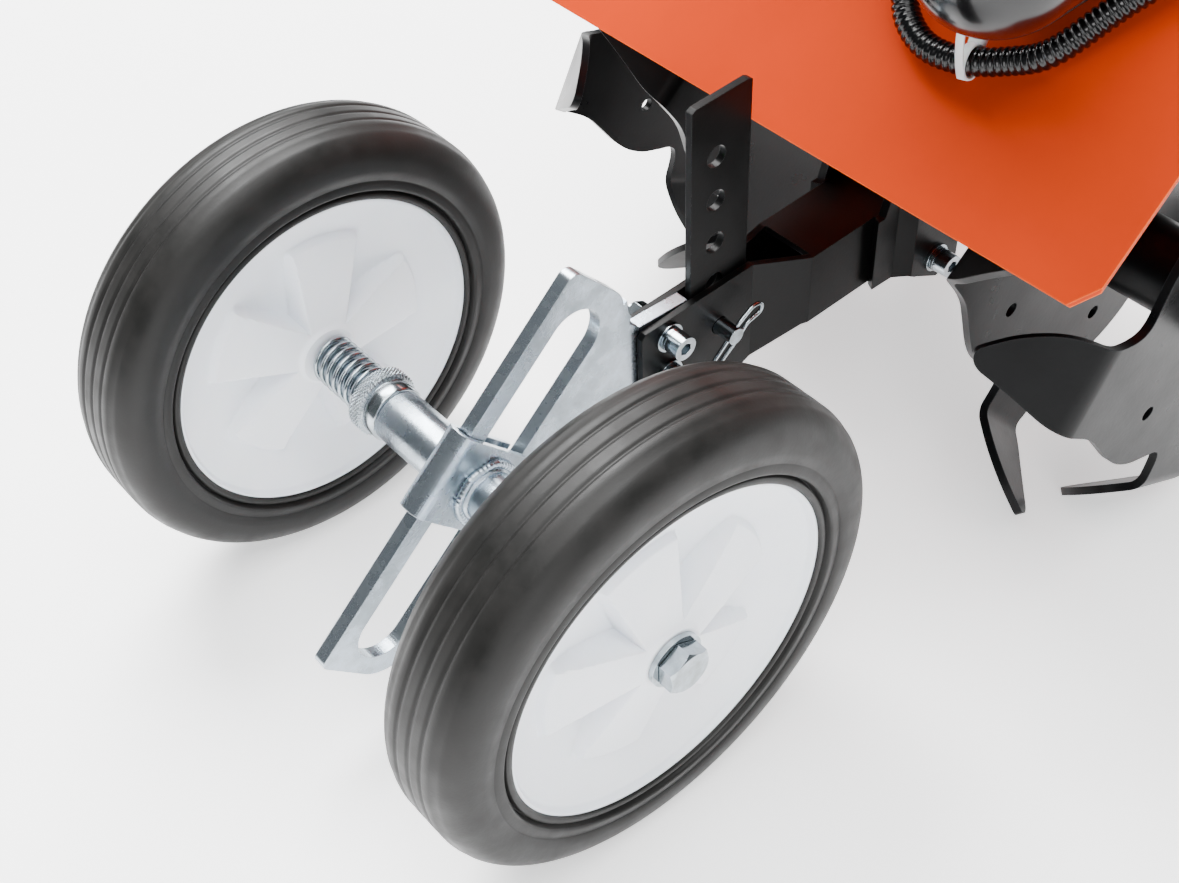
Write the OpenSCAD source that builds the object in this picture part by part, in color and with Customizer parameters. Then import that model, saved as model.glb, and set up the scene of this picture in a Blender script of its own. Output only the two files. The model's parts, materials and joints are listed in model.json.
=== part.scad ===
// Mini cultivator: two-wheel transport carriage on a slotted plate, drag bar with depth stake,
// worm gearbox with four tine stars, guard, two-stroke engine and handlebar.
// +X is the machine's right, +Y is the way it travels, +Z is up. The origin is on the ground,
// midway along the machine. Millimetres.

/* [Transport wheels] */
// Outside diameter of the solid rubber tyres
tyre_d = 200; // [196:1:204]
// Width of a tyre across its widest part
tyre_w = 44; // [42:1:46]
// Radius where the tyre meets the plastic disc
rim_r = 71.5; // [70:0.5:73]
// Width of the plastic disc between its rim faces
disc_w = 40; // [38:1:41]
// Middle of the right wheel, from the machine's middle
wheel_right_x = 90.4; // [88:0.2:94]
// Middle of the left wheel, from the machine's middle
wheel_left_x = -116.3; // [-119:0.1:-114]
// Number of raised spokes on a disc
spokes = 5; // [4:1:6]

/* [Wheel carriage] */
// Diameter of the axle bolt
axle_d = 10; // [9.8:0.1:10.2]
// Outside diameter of the axle tubes
tube_d = 22; // [21:0.5:23]
// Length of the folded sleeve along the slot
sleeve_len = 36; // [32:1:40]

/* [Slotted plate] */
// Thickness of the slotted plate
plate_t = 6; // [5:0.5:6]
// Slope of the slot above level
slot_angle = 40.8; // [38:0.2:43]
// Length of the slot between its end centres
slot_len = 136; // [120:2:140]
// Width of the slot
slot_w = 26; // [25.6:0.1:27]

/* [Drag bar and stake] */
// Distance between stake holes
stake_pitch = 20.7; // [20:0.1:21]
// Width of the stake
stake_w = 30; // [28:0.5:31]
// Thickness of the stake
stake_t = 3.2; // [3:0.1:4]
// Outside width of the drag bar tube
bar_w = 30; // [28:1:31]
// Outside height of the drag bar tube
bar_h = 35.5; // [30:0.5:38]

/* [Tines] */
// Distance from the rotor axis to a tine tip
tine_r = 117.3; // [112:0.1:117.3]
// Middle plane of the inner stars, from the machine's middle
inner_x = 78; // [76:1:80]
// Middle plane of the outer stars, from the machine's middle
outer_x = 141; // [138:1:144]
// Thickness of the tine plate
tine_t = 3.5; // [3:0.5:4]
// Outside diameter of the tine hub tube
hub_d = 34; // [33:0.5:35]

/* [Guard] */
// Half width of the guard
guard_half = 147; // [144:1:150]
// Thickness of the guard sheet
guard_t = 1.6; // [1.4:0.1:2]
// Height of the flat top of the guard
guard_top_z = 260; // [258:1:264]

/* [Engine] */
// Outside radius of the clutch bell housing
bell_r = 48; // [46:1:50]
// Radius of the starter cover
starter_r = 74; // [72:1:76]
// Radius of the fuel tank
tank_r = 29; // [27:1:29]

/* [Handlebar] */
// Outside diameter of the handlebar stem
stem_d = 32; // [30:1:34]
// Outside diameter of the handlebar tube
bar_d = 22; // [21:0.5:23]
// Half of the distance between the grips
grip_x = 205; // [195:1:215]

/* [Hidden] */
$fn = 64;

// Fore and aft places and heights of the main axes
axle_y = -20;
axle_z = tyre_d / 2;
rotor_y = 242;
rotor_z = 115;
worm_y = 274;
pin_y = 103;
pin_z = axle_z + 5.6;

// Finishes
tyre_c = "#1c1c1b";
disc_c = "#eef0f1";
zinc_c = "#b9c4ca";
black_c = "#161616";
tine_c = "#2a2b2c";
guard_c = "#ff660e";
alloy_c = "#a9acae";
plastic_c = "#1f2021";
bronze_c = "#a97b3f";

// ---------------------------------------------------------------- helpers

// Turns something drawn along +Z so that it lies along +X
module along_x() {
    rotate([0, 90, 0]) children();
}

// Round bar of radius r from a to b
module rod(a, b, r) {
    d = b - a;
    l = norm(d);
    translate(a) rotate([0, acos(d[2] / l), atan2(d[1], d[0])]) cylinder(r = r, h = l);
}

// Ring along X from x0 to x1 on the axis at y, z
module ring_x(x0, x1, ro, ri, y, z) {
    translate([x0, y, z]) along_x() difference() {
        cylinder(r = ro, h = x1 - x0);
        translate([0, 0, -1]) cylinder(r = ri, h = x1 - x0 + 2);
    }
}

// Round bar along X from x0 to x1 on the axis at y, z
module rod_x(x0, x1, r, y, z) {
    translate([x0, y, z]) along_x() cylinder(r = r, h = x1 - x0);
}

// Hexagon along X, size across flats af
module hex_x(x0, x1, af, y, z) {
    translate([x0, y, z]) along_x() cylinder(r = af / 2 / cos(30), h = x1 - x0, $fn = 6);
}

// Plate of thickness t centred on x, drawn from points in the Y-Z plane
module plate_x(x, t, pts) {
    translate([x - t / 2, 0, 0]) rotate([90, 0, 90]) linear_extrude(height = t) polygon(pts);
}

// Block between two corners
module block(a, b) {
    translate(a) cube(b - a);
}

// Swept tube of radius r along a list of points, sides facets round
function unit(v) = v / norm(v);
function tangent(p, i) = unit(p[min(i + 1, len(p) - 1)] - p[max(i - 1, 0)]);
function carry(n, t) = unit(n - (n * t) * t);
function normals(p, i = 0, n = [0, 0, 1], out = []) =
    i == len(p) ? out : normals(p, i + 1, carry(n, tangent(p, i)), concat(out, [carry(n, tangent(p, i))]));
module swept(p, r, sides) {
    n = normals(p);
    rings = [for (i = [0:len(p) - 1]) for (k = [0:sides - 1])
        p[i] + r * (cos(k * 360 / sides) * n[i] + sin(k * 360 / sides) * cross(tangent(p, i), n[i]))];
    walls = [for (i = [0:len(p) - 2]) for (k = [0:sides - 1])
        [i * sides + k, i * sides + (k + 1) % sides, (i + 1) * sides + (k + 1) % sides, (i + 1) * sides + k]];
    first = [for (k = [0:sides - 1]) sides - 1 - k];
    last = [for (k = [0:sides - 1]) (len(p) - 1) * sides + k];
    polyhedron(points = rings, faces = concat(walls, [first, last]));
}

// Smooth curve through hand-picked points, n steps a span
function pick(p, i) = p[max(0, min(len(p) - 1, i))];
function bend_point(a, b, c, d, t) =
    0.5 * (2 * b + (c - a) * t + (2 * a - 5 * b + 4 * c - d) * t * t + (3 * b - a - 3 * c + d) * t * t * t);
function smooth(p, n) = concat(
    [for (i = [0:len(p) - 2]) for (k = [0:n - 1])
        bend_point(pick(p, i - 1), pick(p, i), pick(p, i + 1), pick(p, i + 2), k / n)],
    [p[len(p) - 1]]);

// Straight legs with every corner rounded off, reach back from the corner, n steps a corner
function corner_point(a, b, c, t) = (1 - t) * (1 - t) * a + 2 * t * (1 - t) * b + t * t * c;
function rounded(p, reach, n) = concat([p[0]],
    [for (i = [1:len(p) - 2]) for (k = [0:n])
        corner_point(p[i] + reach * unit(p[i - 1] - p[i]), p[i], p[i] + reach * unit(p[i + 1] - p[i]), k / n)],
    [p[len(p) - 1]]);

// ---------------------------------------------------------------- transport wheels

tyre_half = tyre_w / 2;
tyre_r = tyre_d / 2;
hub_r = 14;
bore_r = axle_d / 2 + 0.06;
rim_half = disc_w / 2;

// Tyre section: flat tread with fine grooves, round shoulders, a lip at the disc
shoulder_r = 14;
groove_d = 0.9;
module tyre_section() {
    difference() {
        union() {
            translate([rim_r + 0.1, -rim_half - 0.6]) square([tyre_r - rim_r - shoulder_r, disc_w + 1.2]);
            translate([rim_r + 3, -tyre_half]) square([tyre_r - rim_r - shoulder_r - 3, tyre_w]);
            translate([rim_r + 5, -tyre_half + shoulder_r]) square([tyre_r - rim_r - 5, tyre_w - 2 * shoulder_r]);
            for (s = [-1, 1]) translate([tyre_r - shoulder_r, s * (tyre_half - shoulder_r)]) circle(r = shoulder_r);
        }
        for (y = [-9, -3, 3, 9]) translate([tyre_r, y]) circle(r = groove_d, $fn = 8);
        for (s = [-1, 1]) translate([rim_r + 9, s * tyre_half]) circle(r = 0.6, $fn = 8);
    }
}

module tyre(x) {
    color(tyre_c) translate([x, axle_y, axle_z]) along_x() rotate_extrude($fn = 96) tyre_section();
}

// Disc section: rim barrel, a web in the middle and the hub
web_half = 5;
bowl_r = 52;
module disc_section() {
    translate([rim_r - 4, -rim_half]) square([4, disc_w]);
    polygon([[bowl_r, -web_half], [rim_r - 2, -rim_half + 3], [rim_r - 2, rim_half - 3], [bowl_r, web_half]]);
    translate([hub_r - 1, -web_half]) square([bowl_r - hub_r + 2, 2 * web_half]);
    translate([bore_r, -rim_half]) square([hub_r - bore_r, disc_w]);
}

// One raised spoke on both faces: narrow and tall at the hub, wide and low at the bowl
spoke_in = 6;
spoke_out = 15;
module spoke() {
    intersection() {
        linear_extrude(height = disc_w, center = true)
            polygon([[hub_r - 2, -spoke_in], [bowl_r + 3, -spoke_out], [bowl_r + 3, spoke_out], [hub_r - 2, spoke_in]]);
        rotate([90, 0, 0]) linear_extrude(height = 2 * spoke_out + 2, center = true)
            polygon([[hub_r - 2, -rim_half + 1], [bowl_r + 3, -web_half - 4],
                     [bowl_r + 3, web_half + 4], [hub_r - 2, rim_half - 1]]);
    }
}

module wheel_disc(x) {
    color(disc_c) translate([x, axle_y, axle_z]) along_x() union() {
        rotate_extrude($fn = 96) disc_section();
        for (i = [0:spokes - 1]) rotate([0, 0, i * 360 / spokes + 20]) spoke();
    }
}

module tyre_left() {
    tyre(wheel_left_x);
}

module tyre_right() {
    tyre(wheel_right_x);
}

module wheel_disc_left() {
    wheel_disc(wheel_left_x);
}

module wheel_disc_right() {
    wheel_disc(wheel_right_x);
}

// ---------------------------------------------------------------- wheel carriage

bolt_head_x = wheel_right_x + rim_half + 2.6;
bolt_end_x = wheel_left_x - rim_half - 15;
washer_t = 2;

// Hexagon bolt that is the axle of both wheels
module axle_bolt() {
    color(zinc_c) difference() {
        union() {
            rod_x(bolt_end_x, bolt_head_x + 1, axle_d / 2, axle_y, axle_z);
            intersection() {
                hex_x(bolt_head_x, bolt_head_x + 6.6, 17, axle_y, axle_z);
                translate([bolt_head_x, axle_y, axle_z]) along_x()
                    rotate_extrude() polygon([[0, 0], [9.9, 0], [9.9, 5.4], [8.3, 6.6], [0, 6.6]]);
            }
        }
    }
}

// A washer outside each wheel and a self-locking nut on the bolt's far end
module axle_fasteners() {
    nut_x = wheel_left_x - rim_half - 3;
    color(zinc_c) {
        for (x = [wheel_right_x + rim_half + 0.3, wheel_left_x - rim_half - 0.3 - washer_t])
            ring_x(x, x + washer_t, 11.4, axle_d / 2 + 0.2, axle_y, axle_z);
        difference() {
            union() {
                hex_x(nut_x - 8, nut_x, 17, axle_y, axle_z);
                rod_x(nut_x - 11, nut_x - 7, 7.4, axle_y, axle_z);
            }
            rod_x(nut_x - 14, nut_x + 1, axle_d / 2 + 0.02, axle_y, axle_z);
        }
    }
}

// The sleeve is folded round the upper edge of the plate; seen along X it is a rectangle set square
// to the slot, from 12 below the slot's middle line to 28 above it
fold_low = -12;
fold_high = 27.8;
fold_t = 3;
fold_gap = plate_t / 2 + 0.4;
fold_out = fold_gap + fold_t;
fold_round = 5;
inner_tube_x = -48.5;
tube_end_right = wheel_right_x - rim_half - 2.5;
tube_end_left = wheel_left_x + rim_half + 0.6;
module at_slot() {
    translate([0, axle_y, axle_z]) rotate([slot_angle, 0, 0]) children();
}

module fold_section(out, high, round_r) {
    hull() {
        translate([-out, fold_low]) square([2 * out, 1]);
        for (s = [-1, 1]) translate([s * (out - round_r), high - round_r]) circle(r = round_r, $fn = 32);
    }
}

module carriage_sleeve() {
    color(zinc_c) difference() {
        union() {
            at_slot() rotate([90, 0, 0]) linear_extrude(height = sleeve_len, center = true) difference() {
                fold_section(fold_out, fold_high, fold_round);
                translate([0, -2]) fold_section(fold_gap, fold_high - fold_t + 2, 1.5);
            }
            rod_x(fold_out - 0.5, tube_end_right, tube_d / 2, axle_y, axle_z);
            rod_x(inner_tube_x, -fold_out + 0.5, tube_d / 2 + 0.5, axle_y, axle_z);
            rod_x(tube_end_left, inner_tube_x + 1, 8, axle_y, axle_z);
            for (s = [-1, 1]) translate([s * fold_out, axle_y, axle_z]) rotate([0, s * 90, 0])
                rotate_extrude() polygon([[5, -0.4], [tube_d / 2 + 3.4, -0.4], [tube_d / 2 + 2.6, 0.9],
                                          [tube_d / 2 + 0.2, 3.2], [5, 3.2]]);
        }
        rod_x(wheel_left_x, wheel_right_x, axle_d / 2 + 0.15, axle_y, axle_z);
    }
}

// Steel bush between the two faces of the sleeve; it rides in the slot
module slot_bush() {
    color(zinc_c) ring_x(-fold_gap + 0.05, fold_gap - 0.05, slot_w / 2 - 0.4, axle_d / 2 + 0.15, axle_y, axle_z);
}

// Spring-loaded locking collar: a knurled band and a plain band
collar_x0 = inner_tube_x - 15.1;
collar_mid = inner_tube_x - 7.7;
collar_r = 14.5;
module lock_collar() {
    color(zinc_c) translate([0, axle_y, axle_z]) along_x() difference() {
        rotate_extrude($fn = 72) polygon([[8.06, collar_x0], [12.6, collar_x0], [collar_r, collar_x0 + 1.2],
            [collar_r, collar_mid - 0.8], [13.2, collar_mid], [13.2, inner_tube_x - 1], [12.6, inner_tube_x - 0.2],
            [8.06, inner_tube_x - 0.2]]);
        for (i = [0:35]) rotate([0, 0, i * 10]) translate([collar_r + 0.3, 0, collar_x0 - 1])
            cylinder(r = 0.75, h = 8.2, $fn = 4);
    }
}

// Compression spring between the collar and the far hub, one tube swept along a helix
spring_turns = 7;
spring_x0 = wheel_left_x + rim_half + 1.9;
spring_x1 = collar_x0 - 1.3;
spring_r = 9.6;
wire_r = 1.05;
function coil(t) = [spring_x0 + (spring_x1 - spring_x0) * t,
                    axle_y + spring_r * cos(360 * spring_turns * t),
                    axle_z + spring_r * sin(360 * spring_turns * t)];
module lock_spring() {
    steps = spring_turns * 12;
    color(zinc_c) swept([for (i = [0:steps]) coil(i / steps)], wire_r, 8);
}

// ---------------------------------------------------------------- slotted plate and drag bar

strip_half = 22.3;
// Outline in the slot's own axes: along the slot, then square to it. The lug that the drag bar
// holds is added in the machine's axes.
module slot_outline() {
    rotate([0, 0, slot_angle]) difference() {
        union() {
            hull() {
                translate([-87, 19.5]) circle(r = 3);
                translate([85.5, 18]) circle(r = 4.5);
                translate([-72, -strip_half + 18]) circle(r = 18);
                translate([78, -7]) circle(r = 12);
            }
            translate([-60, -strip_half]) square([85, 30]);
            polygon([[14, -strip_half], [44, -45], [84, -24], [89, -8], [60, 15], [14, 10]]);
        }
        hull() for (s = [-1, 1]) translate([s * slot_len / 2 - 1, 0]) circle(r = slot_w / 2);
    }
}

lug_y1 = 108.5;
module slotted_plate() {
    color(zinc_c) translate([-plate_t / 2, axle_y, axle_z]) rotate([90, 0, 90]) linear_extrude(height = plate_t)
        difference() {
            union() {
                slot_outline();
                polygon([[40, -0.5], [62, -5.5], [84, -8], [lug_y1, -9], [lug_y1, 26.5], [83, 28.5],
                         [78.5, 33], [77.5, 46], [64, 36], [50, 20]]);
            }
            for (z = bracket_rows) translate([bracket_y, z]) circle(r = 3.3, $fn = 32);
        }
}

// Two socket screws clamp the lug between the ears of the bar
bracket_y = 95;
bracket_rows = [18, -2];
ear_t = 3;
ear_in = plate_t / 2 + 0.4;
ear_out = ear_in + ear_t;
module bracket_fasteners() {
    y = axle_y + bracket_y;
    color(zinc_c) for (row = bracket_rows) {
        z = axle_z + row;
        rod_x(-ear_out - 9, ear_out + 5, 3, y, z);
        difference() {
            rod_x(ear_out + 3.6, ear_out + 10.2, 5.2, y, z);
            hex_x(ear_out + 6.8, ear_out + 11, 5, y, z);
        }
        ring_x(ear_out + 0.02, ear_out + 1.5, 6.4, 3.2, y, z);
        ring_x(ear_out + 1.7, ear_out + 3.4, 5.3, 3.2, y, z);
        ring_x(-ear_out - 1.5, -ear_out - 0.02, 6.4, 3.2, y, z);
        difference() {
            hex_x(-ear_out - 6.8, -ear_out - 1.7, 10, y, z);
            rod_x(-ear_out - 8, -ear_out - 1, 3.02, y, z);
        }
    }
}

// Drag bar: a rectangular tube whose rear end is pressed into two ears. The walls are drawn in plan
// and cut to the side view; the flat top and bottom only close the tube part.
bar_top = axle_z + 20;
bar_bottom = bar_top - bar_h;
ear_rear = axle_y + 81.5;
ear_front = axle_y + 141;
tube_rear = axle_y + 166;
tube_front = axle_y + 226;
bar_half = bar_w / 2;
module bar_wall(s) {
    linear_extrude(height = 120) polygon([
        [s * ear_in, ear_rear], [s * ear_out, ear_rear], [s * ear_out, ear_front], [s * bar_half, tube_rear],
        [s * bar_half, tube_front], [s * (bar_half - ear_t), tube_front], [s * (bar_half - ear_t), tube_rear],
        [s * ear_in, ear_front]]);
}

module bar_side_view() {
    plate_x(0, bar_w + 4, [
        [ear_rear, axle_z - 22], [ear_rear + 5, axle_z - 27], [ear_front - 8, axle_z - 27],
        [tube_rear - 3, bar_bottom], [tube_front + 1, bar_bottom], [tube_front + 1, bar_top],
        [tube_rear, bar_top], [ear_front, axle_z + 26.3], [ear_rear + 2, axle_z + 26.3], [ear_rear, axle_z + 24]]);
}

module drag_bar() {
    color(black_c) difference() {
        union() {
            intersection() {
                translate([0, 0, 40]) for (s = [-1, 1]) bar_wall(s);
                bar_side_view();
            }
            for (z = [bar_bottom, bar_top - ear_t])
                block([-bar_half + 1, tube_rear + 1, z], [bar_half - 1, tube_front, z + ear_t]);
        }
        for (z = bracket_rows) rod_x(-20, 20, 3.3, axle_y + bracket_y, axle_z + z);
        rod_x(-20, 20, pin_r + 0.35, pin_y, pin_z);
    }
}

// Side plates welded to the bar's front end; they step outwards and take the gearbox bolts
flange_x = 20;
flange_t = 4;
flange_bolt_y = rotor_y - 29;
flange_bolt_z = axle_z - 15;
flange_rows = [0, 42];
module bar_side_plates() {
    color(black_c) for (s = [-1, 1]) difference() {
        intersection() {
            translate([0, 0, 60]) linear_extrude(height = 80) polygon([
                [s * (bar_half + 0.05), tube_front - 24], [s * (bar_half + flange_t), tube_front - 26],
                [s * (bar_half + flange_t), tube_front - 14], [s * (flange_x + flange_t), tube_front - 7],
                [s * (flange_x + flange_t), rotor_y - 14], [s * (flange_x + 0.05), rotor_y - 14],
                [s * (flange_x + 0.05), tube_front - 5], [s * (bar_half + 0.05), tube_front - 12]]);
            plate_x(0, 80, [[tube_front - 30, bar_bottom - 1], [tube_front - 8, bar_bottom - 2],
                [flange_bolt_y + 3, flange_bolt_z - 13], [rotor_y - 12, flange_bolt_z - 9],
                [rotor_y - 12, flange_bolt_z + 54], [tube_front - 16, flange_bolt_z + 54],
                [tube_front - 22, bar_top], [tube_front - 30, bar_top]]);
        }
        for (z = flange_rows) rod_x(-40, 40, 3.3, flange_bolt_y, flange_bolt_z + z);
        rod_x(-40, 40, boss_r + 0.3, rotor_y, rotor_z);
    }
}

module flange_bolts() {
    x0 = flange_x + flange_t;
    color(zinc_c) for (row = flange_rows) {
        zb = flange_bolt_z + row;
        rod_x(-x0 - 8, x0 + 5, 3, flange_bolt_y, zb);
        ring_x(x0 + 0.02, x0 + 1.6, 6.4, 3.2, flange_bolt_y, zb);
        ring_x(x0 + 1.8, x0 + 3.4, 5.4, 3.2, flange_bolt_y, zb);
        ring_x(-x0 - 1.6, -x0 - 0.02, 6.4, 3.2, flange_bolt_y, zb);
        difference() {
            rod_x(x0 + 3.6, x0 + 9.8, 5.2, flange_bolt_y, zb);
            hex_x(x0 + 6.6, x0 + 10.8, 5, flange_bolt_y, zb);
        }
        hex_x(-x0 - 6.8, -x0 - 1.7, 10, flange_bolt_y, zb);
    }
}

// Depth stake: flat bar with a row of holes, held by the clevis pin in the fifth
stake_y0 = pin_y - 12.7;
stake_x = ear_in - 0.4 - stake_t / 2;
stake_top = pin_z + 4 * stake_pitch + 26.5;
stake_bottom = pin_z - 3 * stake_pitch - 15;
pin_r = 3.7;
stake_hole_r = 4.7;
module depth_stake() {
    color(black_c) difference() {
        plate_x(stake_x, stake_t, [[stake_y0 + 2, stake_top], [stake_y0, stake_top - 1], [stake_y0, stake_bottom + 3],
            [stake_y0 + 5, stake_bottom], [stake_y0 + stake_w - 5, stake_bottom],
            [stake_y0 + stake_w, stake_bottom + 3], [stake_y0 + stake_w, stake_top - 1],
            [stake_y0 + stake_w - 2, stake_top]]);
        for (i = [-3:4]) rod_x(-5, 5, stake_hole_r, pin_y, pin_z + i * stake_pitch);
    }
}

// Clevis pin with a head on the left and a cross hole for the clip on the right
pin_end = ear_out + 9.8;
clip_x = ear_out + 7.2;
clip_angle = 42;
module clip_frame() {
    translate([clip_x, pin_y, pin_z]) rotate([clip_angle, 0, 0]) children();
}

module clevis_pin() {
    color(zinc_c) difference() {
        union() {
            rod_x(-ear_out - 1, pin_end, pin_r, pin_y, pin_z);
            rod_x(-ear_out - 5, -ear_out - 0.3, 6.5, pin_y, pin_z);
        }
        clip_frame() rotate([90, 0, 0]) cylinder(r = 1.2, h = 20, center = true, $fn = 24);
    }
}

// R-clip: a straight leg through the pin, an eye, and a waved leg that hugs the pin
clip_wire_r = 0.9;
clip_points = [
    [0, -20, 0], [0, -6, 0], [0, 4, 0], [0, 9, -0.8], [0, 13, -1.8], [0, 15.6, -4.4], [0, 15.4, -7.4],
    [0, 12.8, -8.4], [0, 9.6, -6.8], [0, 6.4, -5.2], [0, 2.6, -5.3], [0, -1.5, -5.5], [0, -5, -5.3],
    [0, -8.5, -5], [0, -12, -4.9], [0, -16, -6]];
module r_clip() {
    color(zinc_c) clip_frame() swept(smooth(clip_points, 4), clip_wire_r, 8);
}

// ---------------------------------------------------------------- gearbox

gear_r = 24;
worm_r = worm_y - rotor_y - gear_r + 0.8;
case_r = 33;
case_half = 20;
shaft_r = 12.5;
bearing_r = 20;
boss_r = bearing_r + 3;
neck_r = 21;
neck_top = guard_top_z + 14;
worm_top = neck_top + 20;

module case_outline() {
    translate([rotor_y, rotor_z]) circle(r = case_r);
    translate([rotor_y - 35.5, flange_bolt_z - 11]) square([25.5, 66]);
    translate([worm_y - neck_r, rotor_z - 34]) square([2 * neck_r, neck_top - rotor_z + 34]);
    translate([rotor_y - 10, rotor_z - 31]) square([50, 62]);
}

module case_solid() {
    rotate([90, 0, 90]) linear_extrude(height = 2 * case_half, center = true) case_outline();
    translate([0, worm_y, rotor_z - 34]) cylinder(r = neck_r + 3, h = neck_top - rotor_z + 34);
    rod_x(-36, 36, boss_r, rotor_y, rotor_z);
    translate([0, worm_y, neck_top - 6]) cylinder(r = 36, h = 6);
}

module case_hollow() {
    rod_x(-14, 14, gear_r + 4, rotor_y, rotor_z);
    rod_x(-37, 37, bearing_r, rotor_y, rotor_z);
    translate([0, worm_y, rotor_z - 30]) cylinder(r = 13, h = 62);
    translate([0, worm_y, rotor_z - 31]) cylinder(r = 9, h = worm_top);
    for (z = flange_rows) rod_x(-40, 40, 3.3, flange_bolt_y, flange_bolt_z + z);
    for (p = case_screws) rod_x(-40, 40, 2.7, p[0], p[1]);
}

case_screws = [[rotor_y - 6, rotor_z + 29.5], [rotor_y - 10, rotor_z - 29], [worm_y + 17, rotor_z - 26],
               [worm_y + 17, rotor_z + 60], [worm_y - 17, rotor_z + 60]];

module gearbox_half(s) {
    color(alloy_c) intersection() {
        difference() {
            case_solid();
            case_hollow();
        }
        translate([s > 0 ? 0.05 : -60.05, 100, 0]) cube([60, 300, 400]);
    }
}

module gearbox_left() {
    gearbox_half(-1);
}

module gearbox_right() {
    gearbox_half(1);
}

module gearbox_bolts() {
    color(zinc_c) for (p = case_screws) {
        rod_x(-case_half - 4, case_half + 4.5, 2.5, p[0], p[1]);
        difference() {
            rod_x(case_half + 4.3, case_half + 9.3, 4.2, p[0], p[1]);
            hex_x(case_half + 6.5, case_half + 10, 4, p[0], p[1]);
        }
    }
}

// Worm on the vertical drive shaft
worm_len = 40;
module worm() {
    color(zinc_c) {
        translate([0, worm_y, rotor_z - 28]) cylinder(r = 6, h = worm_top - rotor_z + 28);
        difference() {
            translate([0, worm_y, rotor_z - worm_len / 2]) cylinder(r = worm_r - 1.2, h = worm_len);
            for (i = [-4:4]) translate([0, worm_y, rotor_z + i * 4.2]) rotate_extrude()
                translate([worm_r - 1.2, 0]) circle(r = 0.9, $fn = 4);
        }
    }
}

// Bronze worm wheel keyed to the tine shaft
gear_teeth = 30;
module worm_wheel() {
    color(bronze_c) translate([0, rotor_y, rotor_z]) along_x() difference() {
        cylinder(r = gear_r - 1.2, h = 16, center = true, $fn = 96);
        for (i = [0:gear_teeth - 1]) rotate([0, 0, i * 360 / gear_teeth])
            translate([gear_r - 0.6, 0, 0]) cube([3.2, 2.4, 20], center = true);
        cylinder(r = shaft_r + 0.02, h = 30, center = true);
    }
}

shaft_half = 66;
module tine_shaft() {
    color(zinc_c) difference() {
        rod_x(-shaft_half, shaft_half, shaft_r, rotor_y, rotor_z);
        for (s = [-1, 1]) translate([s * lock_pin_x, rotor_y, rotor_z]) cylinder(r = 4.1, h = 40, center = true);
    }
}

module shaft_bearings() {
    color(zinc_c) for (s = [-1, 1]) {
        ring_x(s * 21 - 5, s * 21 + 5, bearing_r - 0.02, shaft_r + 5.1, rotor_y, rotor_z);
        ring_x(s * 21 - 5, s * 21 + 5, shaft_r + 2.4, shaft_r + 0.03, rotor_y, rotor_z);
        for (i = [0:9]) translate([s * 21, rotor_y, rotor_z]) rotate([i * 36, 0, 0])
            translate([0, 0, shaft_r + 3.75]) sphere(r = 1.3);
    }
    color(zinc_c) for (z = [rotor_z - 27, rotor_z + 24]) translate([0, worm_y, z]) difference() {
        cylinder(r = 12.97, h = 6);
        translate([0, 0, -1]) cylinder(r = 6.03, h = 8);
    }
}

module shaft_seals() {
    color(plastic_c) for (s = [-1, 1])
        ring_x(s * 31.5 - 3.5, s * 31.5 + 3.5, bearing_r - 0.02, shaft_r + 0.06, rotor_y, rotor_z);
}

// ---------------------------------------------------------------- tines

// One star is a flat plate with four arms; each arm ends in a blade bent to one side. The outline of a
// quarter is given by angle and radius from the arm's middle line.
arm_in_r = 86;
arm_out_r = 98;
arm_in_a = -11;
arm_out_a = 10.4;
web = [[10.4, 90], [19, 83], [28, 78], [44, 75], [56, 72], [66, 68], [74, 65.5], [79, 69]];
function polar(r, a) = [r * cos(a), r * sin(a)];
module star_outline() {
    polygon([for (q = [0:3]) each concat(
        [polar(arm_in_r, q * 90 + arm_in_a), polar(arm_out_r, q * 90 + arm_out_a)],
        [for (w = web) polar(w[1], q * 90 + w[0])])]);
}

// Blade: from the arm's bend line to a narrow tip that stands blade_out to one side
blade_out = 33;
tip_a = -5.5;
tip_b = -1.5;
module blade(side) {
    a = polar(arm_in_r, arm_in_a);
    b = polar(arm_out_r, arm_out_a);
    c = polar(tine_r, tip_b);
    d = polar(tine_r, tip_a);
    h = tine_t / 2;
    k = side * blade_out;
    polyhedron(points = [
        [a[0] - 1, a[1], -h], [b[0] - 1, b[1], -h], [c[0], c[1], k - h], [d[0], d[1], k - h],
        [a[0] - 1, a[1], h], [b[0] - 1, b[1], h], [c[0], c[1], k + h], [d[0], d[1], k + h]],
        faces = [[2, 1, 0], [3, 2, 0], [4, 5, 6], [4, 6, 7], [0, 1, 5, 4], [1, 2, 6, 5], [2, 3, 7, 6], [3, 0, 4, 7]]);
}

// A star at x, with its first arm at the given angle above +Y and its blades to the given side
module star(x, phase, side) {
    translate([x, rotor_y, rotor_z]) rotate([90, 0, 90]) rotate([0, 0, phase]) difference() {
        union() {
            linear_extrude(height = tine_t, center = true) star_outline();
            for (q = [0:3]) rotate([0, 0, q * 90]) blade(side);
        }
        for (q = [0:3]) rotate([0, 0, q * 90 + 40]) translate([52, 0, 0]) cylinder(r = 3.2, h = 10, center = true);
    }
}

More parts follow.
